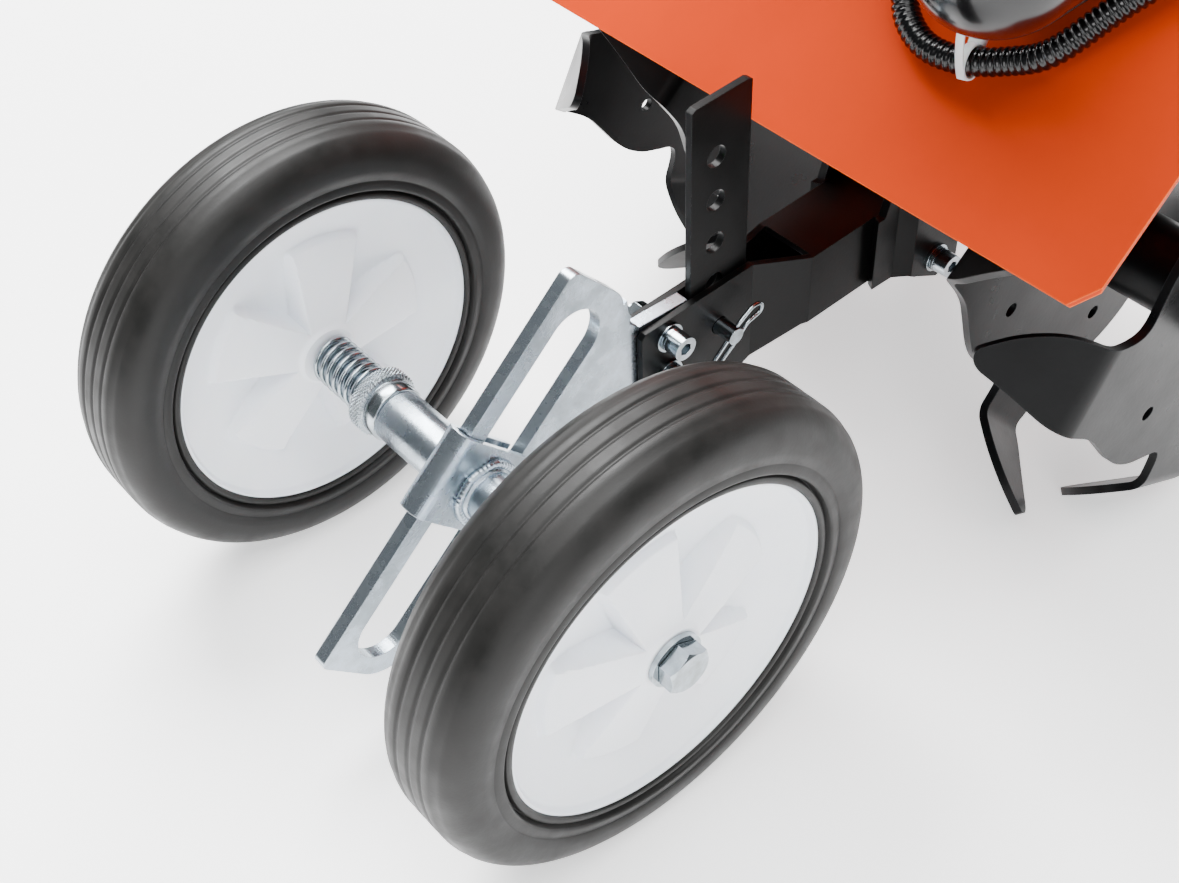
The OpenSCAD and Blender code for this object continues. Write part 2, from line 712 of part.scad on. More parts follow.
lock_pin_x = 52;
hub_x0 = 38;
hub_x1 = 172;
inner_phase = 61;
outer_phase = 80;
module tine_set(s) {
    color(tine_c) difference() {
        union() {
            star(s * inner_x, inner_phase, s);
            star(s * outer_x, outer_phase, -s);
            rod_x(s > 0 ? hub_x0 : -hub_x1, s > 0 ? hub_x1 : -hub_x0, hub_d / 2, rotor_y, rotor_z);
            for (x = [inner_x, outer_x]) rod_x(s * x - 5, s * x + 5, hub_d / 2 + 2.5, rotor_y, rotor_z);
        }
        rod_x(s > 0 ? hub_x0 - 1 : -hub_x1 - 1, s > 0 ? hub_x1 + 1 : -hub_x0 + 1, shaft_r + 0.2, rotor_y, rotor_z);
        translate([s * lock_pin_x, rotor_y, rotor_z]) cylinder(r = 4.1, h = 60, center = true);
    }
}

module tine_set_left() {
    tine_set(-1);
}

module tine_set_right() {
    tine_set(1);
}

module tine_lock_pins() {
    color(zinc_c) for (s = [-1, 1]) translate([s * lock_pin_x, rotor_y, rotor_z]) {
        translate([0, 0, -24]) cylinder(r = 4, h = 45);
        translate([0, 0, 20]) cylinder(r = 6.5, h = 3);
    }
}

// ---------------------------------------------------------------- guard

rear_y = 128;
rear_z = 188;
bend_rear_y = rear_y + guard_top_z - rear_z;
bend_front_y = 338;
front_y = 372;
front_z = guard_top_z - (front_y - bend_front_y);
chamfer = 9;
module guard_profile() {
    t = guard_t;
    k = t * 0.41421;
    polygon([[rear_y, rear_z], [bend_rear_y, guard_top_z], [bend_front_y, guard_top_z], [front_y, front_z],
        [front_y + t * 0.7071, front_z + t * 0.7071], [bend_front_y + k, guard_top_z + t],
        [bend_rear_y - k, guard_top_z + t], [rear_y - t * 0.7071, rear_z + t * 0.7071]]);
}

module guard() {
    c = chamfer;
    g = guard_half;
    color(guard_c) difference() {
        intersection() {
            translate([-g, 0, 0]) rotate([90, 0, 90]) linear_extrude(height = 2 * g) guard_profile();
            linear_extrude(height = 400) polygon([[-g + c, rear_y - 3], [g - c, rear_y - 3], [g, rear_y + c * 0.7],
                [g, front_y - c], [g - c, front_y + 3], [c - g, front_y + 3], [-g, front_y - c], [-g, rear_y + c * 0.7]]);
        }
        translate([0, worm_y, guard_top_z - 2]) cylinder(r = neck_r + 9.5, h = 6);
        for (p = guard_holes) translate([p[0], p[1], guard_top_z - 4]) cylinder(r = 2.7, h = 10);
    }
}

guard_holes = [[-31, worm_y - 31], [31, worm_y - 31], [-31, worm_y + 31], [31, worm_y + 31]];
module guard_bolts() {
    color(zinc_c) for (p = guard_holes) translate([p[0], p[1], guard_top_z - 1]) {
        translate([0, 0, -3]) cylinder(r = 2.5, h = 14);
        translate([0, 0, -6.2]) cylinder(r = 4.6 / cos(30), h = 6, $fn = 6);
    }
}

// ---------------------------------------------------------------- clutch and engine

bell_z0 = neck_top + 0.1;
bell_z1 = bell_z0 + 46;
case_z0 = bell_z1 + 0.1;
case_z1 = case_z0 + 62;
gland_z = case_z0 + 42;
module clutch_housing() {
    color(alloy_c) difference() {
        union() {
            translate([0, worm_y, bell_z0]) rotate_extrude() polygon([
                [0, 0], [38, 0], [38, 6], [bell_r, 14], [bell_r, 46], [0, 46]]);
            for (p = guard_holes) {
                translate([p[0], p[1], guard_top_z + guard_t + 0.05]) cylinder(r = 7, h = 26);
                foot_rib(p);
            }
            block([-14, worm_y - bell_r - 22, bell_z0 + 8], [14, worm_y - bell_r + 8, bell_z0 + 44]);
        }
        translate([0, worm_y, bell_z0 + 8]) cylinder(r = bell_r - 5, h = 40);
        translate([0, worm_y, bell_z0 - 1]) cylinder(r = 10, h = 20);
        for (p = guard_holes) translate([p[0], p[1], guard_top_z]) cylinder(r = 2.52, h = 14);
        rod_x(-20, 20, 4.2, worm_y - bell_r - 12, bell_z0 + 26);
    }
}

// Rib from a foot to the bell
module foot_rib(p) {
    a = atan2(p[1] - worm_y, p[0]);
    translate([0, worm_y, bell_z0]) rotate([0, 0, a]) translate([30, -3, 0]) cube([15, 6, 16]);
}

module clutch_drum() {
    color(zinc_c) translate([0, worm_y, bell_z0 + 10]) difference() {
        cylinder(r = 40, h = 24);
        translate([0, 0, 4]) cylinder(r = 36.5, h = 30);
        translate([0, 0, -1]) cylinder(r = 6.03, h = 10);
    }
}

module clutch_shoes() {
    color(bronze_c) translate([0, worm_y, bell_z0 + 16]) difference() {
        cylinder(r = 34, h = 16);
        translate([0, 0, -1]) cylinder(r = 12, h = 20);
        for (a = [0, 90]) rotate([0, 0, a]) translate([-40, -2.5, -1]) cube([80, 5, 20]);
    }
}

module crankcase() {
    color(alloy_c) difference() {
        union() {
            translate([0, worm_y, case_z0]) cylinder(r = bell_r, h = 8);
            translate([0, worm_y, case_z0]) cylinder(r = 40, h = 62);
            block([-46, worm_y - 30, case_z0 + 10], [0, worm_y + 30, case_z0 + 56]);
            translate([0, worm_y, case_z1 - 8]) cylinder(r = 62, h = 8);
            rod_x(30, 50, 9, worm_y - 12, gland_z);
        }
        translate([0, worm_y, case_z0 + 8]) cylinder(r = 30, h = 46);
        translate([0, worm_y, case_z0 - 1]) cylinder(r = 10, h = 80);
        rod_x(-60, -10, 20, worm_y, case_z0 + 33);
        block([-70, worm_y - 36, case_z0 + 4], [-46.5, worm_y + 36, case_z1 + 1]);
    }
}

// Crankshaft: lower end carries the clutch, upper end the flywheel, two webs with the pin between
crank_throw = 13;
journal_r = 9.93;
module crankshaft() {
    color(zinc_c) translate([0, worm_y, 0]) {
        difference() {
            union() {
                translate([0, 0, worm_top + 2]) cylinder(r = journal_r, h = cyl_z - 6 - worm_top - 2);
                translate([0, 0, cyl_z + 6]) cylinder(r = journal_r, h = case_z1 + 14 - cyl_z - 6);
                for (z = [-15, 6]) translate([0, 0, cyl_z + z]) cylinder(r = 27, h = 9);
                translate([crank_throw, 0, cyl_z - 8]) cylinder(r = 6, h = 16);
            }
            for (s = [-1, 1]) translate([-24, s * 24, cyl_z - 20]) cylinder(r = 9, h = 40);
        }
    }
}

// Flywheel with cooling fins
module flywheel() {
    color(alloy_c) translate([0, worm_y, case_z1]) difference() {
        union() {
            translate([0, 0, 3]) cylinder(r = 58, h = 5);
            translate([0, 0, 3]) cylinder(r = 15, h = 10);
            for (i = [0:17]) rotate([0, 0, i * 20]) translate([30, -1.2, 7]) cube([26, 2.4, 7]);
        }
        translate([0, 0, -1]) cylinder(r = journal_r + 0.02, h = 20);
    }
}

// Air-cooled cylinder lying to the left, with square fins
cyl_x0 = -47;
cyl_x1 = -118;
cyl_z = case_z0 + 33;
module cylinder_part() {
    color(alloy_c) difference() {
        union() {
            rod_x(cyl_x1, cyl_x0, 26, worm_y, cyl_z);
            for (i = [0:9]) translate([cyl_x0 - 7 - i * 7, worm_y, cyl_z]) cube([2.2, 68, 56], center = true);
            rod_x(cyl_x0 - 5, cyl_x0, 28, worm_y, cyl_z);
        }
        rod_x(cyl_x1 + 12, cyl_x0 + 1, 20, worm_y, cyl_z);
        rod_x(cyl_x1 - 1, cyl_x1 + 14, 5, worm_y, cyl_z);
    }
}

module spark_plug() {
    color("#f2f0ea") {
        rod_x(cyl_x1 - 2, cyl_x1 + 12, 4.9, worm_y, cyl_z);
        hex_x(cyl_x1 - 9, cyl_x1 - 1, 15, worm_y, cyl_z);
        rod_x(cyl_x1 - 24, cyl_x1 - 8, 5, worm_y, cyl_z);
    }
}

module plug_cap() {
    x = cyl_x1 - 10;
    color(plastic_c) difference() {
        union() {
            rod_x(x - 22, x, 9, worm_y, cyl_z);
            translate([x - 16, worm_y, cyl_z]) cylinder(r = 7, h = 24);
        }
        rod_x(x - 15, x + 1, 5.3, worm_y, cyl_z);
    }
}

// Top cowl over the cylinder, open towards the crankcase
cowl_z0 = cyl_z + 32;
module engine_cowl() {
    color(guard_c) difference() {
        union() {
            block([-136, worm_y - 46, cyl_z - 22], [-50, worm_y + 46, cowl_z0 + 14]);
            translate([-80, worm_y, cowl_z0 + 4]) cylinder(r = 46, h = 10);
        }
        block([-133, worm_y - 43, cyl_z - 30], [-49, worm_y + 43, cowl_z0 + 11]);
        block([-140, worm_y - 14, cyl_z - 40], [-130, worm_y + 14, cyl_z + 16]);
        translate([0, worm_y, case_z1 - 0.5]) cylinder(r = starter_r + 0.4, h = 60);
        for (i = [0:5]) block([-120 + i * 11, worm_y - 50, cowl_z0 - 26], [-114 + i * 11, worm_y - 40, cowl_z0 + 4]);
        block([-130, worm_y + 40, cyl_z - 30], [-62, worm_y + 50, cyl_z + 26]);
        block([-90, worm_y - 50, cyl_z - 30], [-62, worm_y - 40, cyl_z + 18]);
    }
}

module muffler() {
    y0 = worm_y + 34.2;
    color("#3b3b3c") difference() {
        union() {
            block([-122, y0 + 3, cyl_z - 26], [-66, y0 + 36, cyl_z + 22]);
            block([-104, y0, cyl_z - 12], [-84, y0 + 4, cyl_z + 12]);
            translate([-94, y0 + 34, cyl_z - 16]) rotate([-60, 0, 0]) cylinder(r = 6, h = 14);
        }
        for (i = [0:3]) block([-123, y0 + 8 + i * 7, cyl_z - 20], [-120, y0 + 11 + i * 7, cyl_z + 16]);
    }
}

// Carburettor on the rear side of the cylinder, with its filter behind it
carb_x = -76;
carb_y1 = worm_y - 34.2;
carb_y0 = carb_y1 - 34;
module carburettor() {
    color(alloy_c) union() {
        block([carb_x - 13, carb_y0 + 4, cyl_z - 14], [carb_x + 13, carb_y1 - 6, cyl_z + 14]);
        block([carb_x - 18, carb_y1 - 6, cyl_z - 9], [carb_x + 18, carb_y1, cyl_z + 9]);
        translate([carb_x, carb_y0 + 17, cyl_z - 22]) cylinder(r = 9, h = 10);
        block([carb_x - 18, carb_y0, cyl_z - 12], [carb_x + 18, carb_y0 + 4, cyl_z + 12]);
    }
}

choke_y = carb_y0 - 10;
module choke_lever() {
    color("#c8342a") {
        rod_x(carb_x + 25.4, carb_x + 29, 7, choke_y, cyl_z);
        block([carb_x + 25.4, choke_y - 4, cyl_z], [carb_x + 29, choke_y + 4, cyl_z + 20]);
        block([carb_x + 25.4, choke_y - 4, cyl_z + 16], [carb_x + 36, choke_y + 4, cyl_z + 20]);
    }
}

module air_filter_cover() {
    y1 = carb_y0 - 0.3;
    color(plastic_c) difference() {
        union() {
            block([carb_x - 25, y1 - 34, cyl_z - 28], [carb_x + 25, y1, cyl_z + 28]);
            rod_x(carb_x + 24, carb_x + 25.1, 8, choke_y, cyl_z);
        }
        block([carb_x - 22, y1 - 31, cyl_z - 25], [carb_x + 22, y1 - 3, cyl_z + 25]);
        for (i = [-2:2]) block([carb_x - 16, y1 - 36, cyl_z + i * 8 - 1.5], [carb_x + 16, y1 - 30, cyl_z + i * 8 + 1.5]);
        translate([carb_x, y1 - 5, cyl_z]) rotate([-90, 0, 0]) cylinder(r = 8, h = 10);
    }
}

// Fuel tank: a lying tank with round ends on the right of the engine
tank_x = 86;
tank_z = 295;
tank_y0 = 138;
tank_y1 = 262;
module fuel_tank() {
    color(black_c) difference() {
        union() {
            translate([tank_x, tank_y0, tank_z]) rotate([-90, 0, 0]) capsule(tank_r);
            translate([tank_x, cap_y, tank_z + tank_r - 8]) cylinder(r = 15, h = 14);
            block([bell_r - 2, tank_y0 + 92, tank_z - 6], [tank_x - 26, tank_y0 + 122, tank_z + 6]);
        }
        translate([tank_x, cap_y, tank_z]) cylinder(r = 12, h = 60);
        translate([0, worm_y, bell_z0 - 10]) cylinder(r = bell_r + 0.3, h = 80);
        translate([tank_x, tank_y0, tank_z]) rotate([-90, 0, 0]) capsule(tank_r - 3);
    }
}

// Round-ended solid of radius r, as long as the tank
module capsule(r) {
    cylinder(r = r, h = tank_y1 - tank_y0);
    sphere(r = r);
    translate([0, 0, tank_y1 - tank_y0]) sphere(r = r);
}

cap_y = 205;
cap_z = tank_z + tank_r + 6.4;
module fuel_cap() {
    color(plastic_c) translate([tank_x, cap_y, cap_z]) {
        difference() {
            cylinder(r = 19, h = 15, $fn = 72);
            for (i = [0:17]) rotate([0, 0, i * 20]) translate([19.6, 0, -1]) cylinder(r = 1.6, h = 18, $fn = 12);
        }
        translate([0, 0, -9.5]) cylinder(r = 11.6, h = 10);
    }
}

// Starter cover on top of the engine; the pulley turns on the post under its top
rope_y = worm_y - 46;
handle_z = case_z1 + 21.1;
module starter_cover() {
    z0 = case_z1 + 0.1;
    color(plastic_c) {
        difference() {
            union() {
                translate([0, worm_y, z0]) rotate_extrude() polygon([
                    [0, 0], [starter_r - 4, 0], [starter_r, 6], [starter_r, 34], [starter_r - 14, 52], [0, 58]]);
                block([20, rope_y - 12, z0 + 8], [84, rope_y + 12, z0 + 34]);
            }
            translate([0, worm_y, z0 - 1]) rotate_extrude() polygon([
                [0, 0], [starter_r - 7, 0], [starter_r - 4, 7], [starter_r - 4, 33], [starter_r - 16, 49], [0, 54]]);
            for (i = [0:11]) rotate_about(i * 30) block([34, -2.2, z0 + 40], [58, 2.2, z0 + 62]);
            rod_x(10, 100, 4, rope_y, handle_z);
        }
        translate([0, worm_y, z0 + 17]) cylinder(r = 6, h = 38);
    }
}

// Recoil pulley with a rope groove round it
pulley_r = 43;
module recoil_pulley() {
    color(plastic_c) translate([0, worm_y, handle_z]) rotate_extrude($fn = 96) polygon([
        [6.1, -3], [pulley_r, -3], [pulley_r, -2.2], [pulley_r - 3, 0], [pulley_r, 2.2], [pulley_r, 3],
        [14, 3], [14, 8], [6.1, 8]]);
}

module rotate_about(a) {
    translate([0, worm_y, 0]) rotate([0, 0, a]) children();
}

rope_r = 2.2;
module starter_handle() {
    color(plastic_c) union() {
        rod_x(84.4, 98, 9, rope_y, handle_z);
        translate([102, rope_y, handle_z]) rotate([90, 0, 0]) cylinder(r = 8, h = 52, center = true);
        for (s = [-1, 1]) translate([102, rope_y + s * 26, handle_z]) sphere(r = 8);
        rod_x(-18, 86, rope_r, rope_y, handle_z);
    }
}

// ---------------------------------------------------------------- handlebar

stem_foot = [0, worm_y - bell_r - 12, bell_z0 + 26];
stem_top = [0, -140, 700];
stem_start = stem_foot + [0, -18, 22];
function stem_z(y) = stem_start[2] + (y - stem_start[1]) * (stem_top[2] - stem_start[2]) / (stem_top[1] - stem_start[1]);
module handle_stem() {
    color(black_c) difference() {
        union() {
            rod(stem_start, stem_top, stem_d / 2);
            for (s = [-1, 1]) {
                rod_x(s > 0 ? 14.3 : -19.3, s > 0 ? 19.3 : -14.3, 14, stem_foot[1], stem_foot[2]);
                plate_x(s * 16.8, 5, [[stem_foot[1] + 10, stem_foot[2] - 12], [stem_foot[1] + 10, stem_foot[2] + 14],
                    [stem_foot[1] - 16, stem_foot[2] + 44], [stem_foot[1] - 40, stem_foot[2] + 22],
                    [stem_foot[1] - 14, stem_foot[2] - 8]]);
            }
            rod_x(-26, 26, 16, stem_top[1], stem_top[2]);
        }
        rod_x(-30, 30, bar_d / 2 + 0.1, stem_top[1], stem_top[2]);
        rod_x(-30, 30, 4.2, stem_foot[1], stem_foot[2]);
        block([-14.25, stem_foot[1] - 24, stem_foot[2] - 24], [14.25, stem_foot[1] + 40, stem_foot[2] + 20.5]);
    }
}

// Bolt through the stem's foot and the two clamp bolts at its top
module stem_bolts() {
    color(zinc_c) {
        rod_x(-24, 25, 4, stem_foot[1], stem_foot[2]);
        for (s = [-1, 1]) ring_x(s > 0 ? 19.4 : -20.9, s > 0 ? 20.9 : -19.4, 8, 4.2, stem_foot[1], stem_foot[2]);
        hex_x(21, 27, 13, stem_foot[1], stem_foot[2]);
        hex_x(-28, -21.1, 13, stem_foot[1], stem_foot[2]);
        for (s = [-1, 1]) translate([s * 18, stem_top[1], stem_top[2] + 16.1]) cylinder(r = 5, h = 4);
    }
}

// Handlebar: a straight middle through the stem's clamp, arms that rise and spread, level grips
elbow = [grip_x - 40, -190, 800];
grip_end = [grip_x, -369, 842];
function bar_points() = [
    grip_at(-1, 6), [-elbow[0], elbow[1], elbow[2]], [-62, stem_top[1], stem_top[2]],
    [62, stem_top[1], stem_top[2]], elbow, grip_at(1, 6)];
module handlebar() {
    color(black_c) swept(rounded(bar_points(), 38, 8), bar_d / 2, 32);
}

grip_len = 112;
control_d = grip_len + 20;
function grip_dir(s) = unit([s * (grip_end[0] - elbow[0]), grip_end[1] - elbow[1], grip_end[2] - elbow[2]]);
function grip_at(s, d) = [s * grip_end[0], grip_end[1], grip_end[2]] - d * grip_dir(s);
module grips() {
    color(plastic_c) for (s = [-1, 1]) difference() {
        union() {
            rod(grip_at(s, grip_len), grip_at(s, 3), 15.5);
            rod(grip_at(s, grip_len + 4), grip_at(s, grip_len - 1), 20);
            rod(grip_at(s, 4), grip_at(s, 0), 13.5);
        }
        rod(grip_at(s, grip_len + 6), grip_at(s, 5), bar_d / 2 + 0.05);
    }
}

// Everything on the right grip is drawn along the bar: +X towards the bar's end, +Z up
module at_grip(s, d) {
    v = grip_dir(s);
    translate(grip_at(s, d)) rotate([0, 0, atan2(v[1], v[0])]) rotate([0, -asin(v[2]), 0]) children();
}

lever_z = 28;
lever_tilt = 10;
module throttle_housing() {
    color(plastic_c) at_grip(1, control_d) difference() {
        union() {
            translate([-14, -13, -20]) cube([28, 26, 40]);
            for (s = [-1, 1]) translate([-9, s > 0 ? 4.6 : -8.6, -lever_z - 8]) cube([18, 4, 2 * lever_z + 16]);
            for (s = [-1, 1]) translate([0, 0, s * lever_z]) rotate([90, 0, 0])
                cylinder(r = 2, h = 16, center = true);
            translate([-14, -8.6, -lever_z - 1]) cube([6, 17.2, 18]);
        }
        rotate([0, 90, 0]) cylinder(r = bar_d / 2 + 0.05, h = 60, center = true);
        translate([0, 9.9, 10]) rotate([-90, 0, 0]) cylinder(r = 5.3, h = 10);
    }
}

module lever(z, tilt, length) {
    at_grip(1, control_d) translate([0, 0, z]) rotate([0, tilt, 0]) difference() {
        union() {
            rotate([90, 0, 0]) cylinder(r = 6, h = 8, center = true);
            translate([0, -4, -5.5]) cube([length, 8, 7]);
            children();
        }
        rotate([90, 0, 0]) cylinder(r = 2.06, h = 20, center = true);
    }
}

module throttle_lever() {
    color("#c8342a") lever(-lever_z, lever_tilt, 62) translate([54, -4, -13]) cube([12, 8, 10]);
}

module safety_lever() {
    color(plastic_c) lever(lever_z, -lever_tilt, 70) translate([40, -5.5, 0]) cube([30, 11, 2.5]);
}

module stop_switch() {
    color("#c8342a") at_grip(1, control_d) translate([0, 12.3, 10]) rotate([-90, 0, 0]) cylinder(r = 5, h = 6.5);
}

// Conduit for the throttle cable and the stop wires: from the grip, along the stem, in a loop over
// the guard and up past the tank to its gland on the crankcase
conduit_r = 5;
conduit_route = [
    [175, -234.8, 788], [171, -216, 781], [158, -193, 763], [128, -172, 732], [92, -158, 700], [58, -148, 676],
    [30, -112, 646], [25, -56, 604], [22.5, 0, 542.6], [22.5, 56, 479.6], [23.5, 112, 420], [28, 160, 378], [29, 184, 336],
    [29, 188, 298], [27, 176, 262], [31, 165, 239], [45, 158, 231], [62, 158, 231], [79, 163, 236],
    [92, 167, 244], [104, 180, 260], [122, 198, 284], [129, 220, 314], [118, 240, 344], [90, 258, 360],
    [66, 262, gland_z], [50.1, 262, gland_z]];
module control_conduit() {
    color(black_c) swept(smooth(conduit_route, 3), conduit_r, 10);
}

// Outline of a belt round two circles: r1 at the origin, r2 at distance d along X
function belt(r1, r2, d) = let (a = acos((r1 - r2) / d)) concat(
    [for (i = [0:20]) let (t = a + i * (360 - 2 * a) / 20) [r1 * cos(t), r1 * sin(t)]],
    [for (i = [0:8]) let (t = -a + i * a / 4) [d + r2 * cos(t), r2 * sin(t)]]);

// White ties: one with a long tail round the conduit's loop, two that hold it to the stem
module tie_ring(r) {
    difference() {
        cylinder(r = r + 1.3, h = 3.6, center = true);
        cylinder(r = r, h = 5, center = true);
    }
}

module cable_ties() {
    slope = atan2(stem_top[1] - stem_start[1], stem_top[2] - stem_start[2]);
    color("#d9dde0") {
        translate([66, 158.8, 231.8]) rotate([0, -8, 9]) rotate([0, 90, 0]) {
            tie_ring(conduit_r + 0.3);
            rotate([0, 0, 45]) translate([-2.6, conduit_r + 0.8, -2.6]) cube([5.2, 4.5, 5.2]);
            translate([-34, -conduit_r - 1.6, -1.6]) cube([34, 1.3, 3.2]);
        }
        for (y = [0, 56]) translate([0, y, stem_z(y)]) rotate([-slope, 0, 0])
            linear_extrude(height = 3.6, center = true) difference() {
                polygon(belt(stem_d / 2 + 1.6, conduit_r + 1.6, 22.5));
                polygon(belt(stem_d / 2 + 0.3, conduit_r + 0.3, 22.5));
            }
    }
}

tyre_left();
tyre_right();
wheel_disc_left();
wheel_disc_right();
axle_bolt();
axle_fasteners();
carriage_sleeve();
slot_bush();
lock_collar();
lock_spring();
slotted_plate();
bracket_fasteners();
drag_bar();
bar_side_plates();
flange_bolts();
depth_stake();
clevis_pin();
r_clip();
gearbox_left();
gearbox_right();
gearbox_bolts();
worm();
worm_wheel();
tine_shaft();
shaft_bearings();
shaft_seals();
tine_set_left();
tine_set_right();
tine_lock_pins();
guard();
guard_bolts();
clutch_housing();
clutch_drum();
clutch_shoes();
crankcase();
crankshaft();
flywheel();
cylinder_part();  // cylinder
engine_cowl();
muffler();
spark_plug();
plug_cap();
carburettor();
choke_lever();
air_filter_cover();
fuel_tank();
fuel_cap();
starter_cover();
recoil_pulley();
starter_handle();
handle_stem();
stem_bolts();
handlebar();
grips();
throttle_housing();
throttle_lever();
safety_lever();
stop_switch();
control_conduit();
cable_ties();
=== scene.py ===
"""Looks of a two-wheeled mini cultivator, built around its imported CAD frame."""

from __future__ import annotations

import json
import logging
import math
from dataclasses import dataclass
from enum import Enum
from typing import Any, Callable, Iterable, Sequence

import bmesh
import bpy
from mathutils import Matrix, Vector

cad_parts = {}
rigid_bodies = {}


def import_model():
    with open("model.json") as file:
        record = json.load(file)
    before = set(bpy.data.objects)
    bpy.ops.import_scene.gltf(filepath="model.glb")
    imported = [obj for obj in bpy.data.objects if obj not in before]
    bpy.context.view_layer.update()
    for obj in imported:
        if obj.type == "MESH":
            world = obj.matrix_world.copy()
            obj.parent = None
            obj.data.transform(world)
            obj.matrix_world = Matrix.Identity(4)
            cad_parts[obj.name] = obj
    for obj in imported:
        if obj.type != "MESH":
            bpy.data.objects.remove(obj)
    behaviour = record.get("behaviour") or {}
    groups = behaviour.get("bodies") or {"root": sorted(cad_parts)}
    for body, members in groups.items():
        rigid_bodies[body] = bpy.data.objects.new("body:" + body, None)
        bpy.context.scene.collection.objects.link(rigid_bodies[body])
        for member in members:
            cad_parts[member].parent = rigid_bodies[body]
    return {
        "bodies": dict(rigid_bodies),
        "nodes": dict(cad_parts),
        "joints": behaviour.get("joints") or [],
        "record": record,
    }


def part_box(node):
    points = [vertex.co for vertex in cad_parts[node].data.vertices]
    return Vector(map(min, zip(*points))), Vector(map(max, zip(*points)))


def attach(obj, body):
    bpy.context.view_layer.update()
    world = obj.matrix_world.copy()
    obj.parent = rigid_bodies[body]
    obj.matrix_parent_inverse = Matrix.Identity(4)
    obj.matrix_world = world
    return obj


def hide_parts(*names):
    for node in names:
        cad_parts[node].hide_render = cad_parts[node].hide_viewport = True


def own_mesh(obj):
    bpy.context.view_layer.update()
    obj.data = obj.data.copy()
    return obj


LOG = logging.getLogger("cultivator")
MM = 0.001
Point = tuple[float, float, float]


# ------------------------------------------------------------------ helpers for materials


def linear(colour: str) -> tuple[float, float, float, float]:
    """Turn an sRGB hex colour into linear RGBA.

    Args:
        colour: six hex digits with a leading hash.

    Returns:
        Linear red, green, blue and an alpha of one.
    """
    parts = [int(colour[i : i + 2], 16) / 255 for i in (1, 3, 5)]
    low = [c / 12.92 if c <= 0.04045 else ((c + 0.055) / 1.055) ** 2.4 for c in parts]
    return (low[0], low[1], low[2], 1.0)


def per_mm(size: float) -> float:
    """Return the texture scale whose pattern repeats about every size millimetres."""
    return 1.0 / (size * MM)


def add_node(
    tree: bpy.types.NodeTree,
    kind: str,
    settings: dict[str, Any] | None = None,
    values: dict[str | int, Any] | None = None,
    links: dict[str | int, bpy.types.NodeSocket] | None = None,
) -> bpy.types.Node:
    """Add one shader node.

    Args:
        tree: node tree that the node goes into.
        kind: the node's Blender type name.
        settings: attributes to set on the node.
        values: constants for its inputs, by name or number.
        links: output sockets to join to its inputs, by name or number.

    Returns:
        The new node.
    """
    node = tree.nodes.new(kind)
    for name, value in (settings or {}).items():
        setattr(node, name, value)
    for name, value in (values or {}).items():
        node.inputs[name].default_value = value
    for name, socket in (links or {}).items():
        tree.links.new(socket, node.inputs[name])
    return node


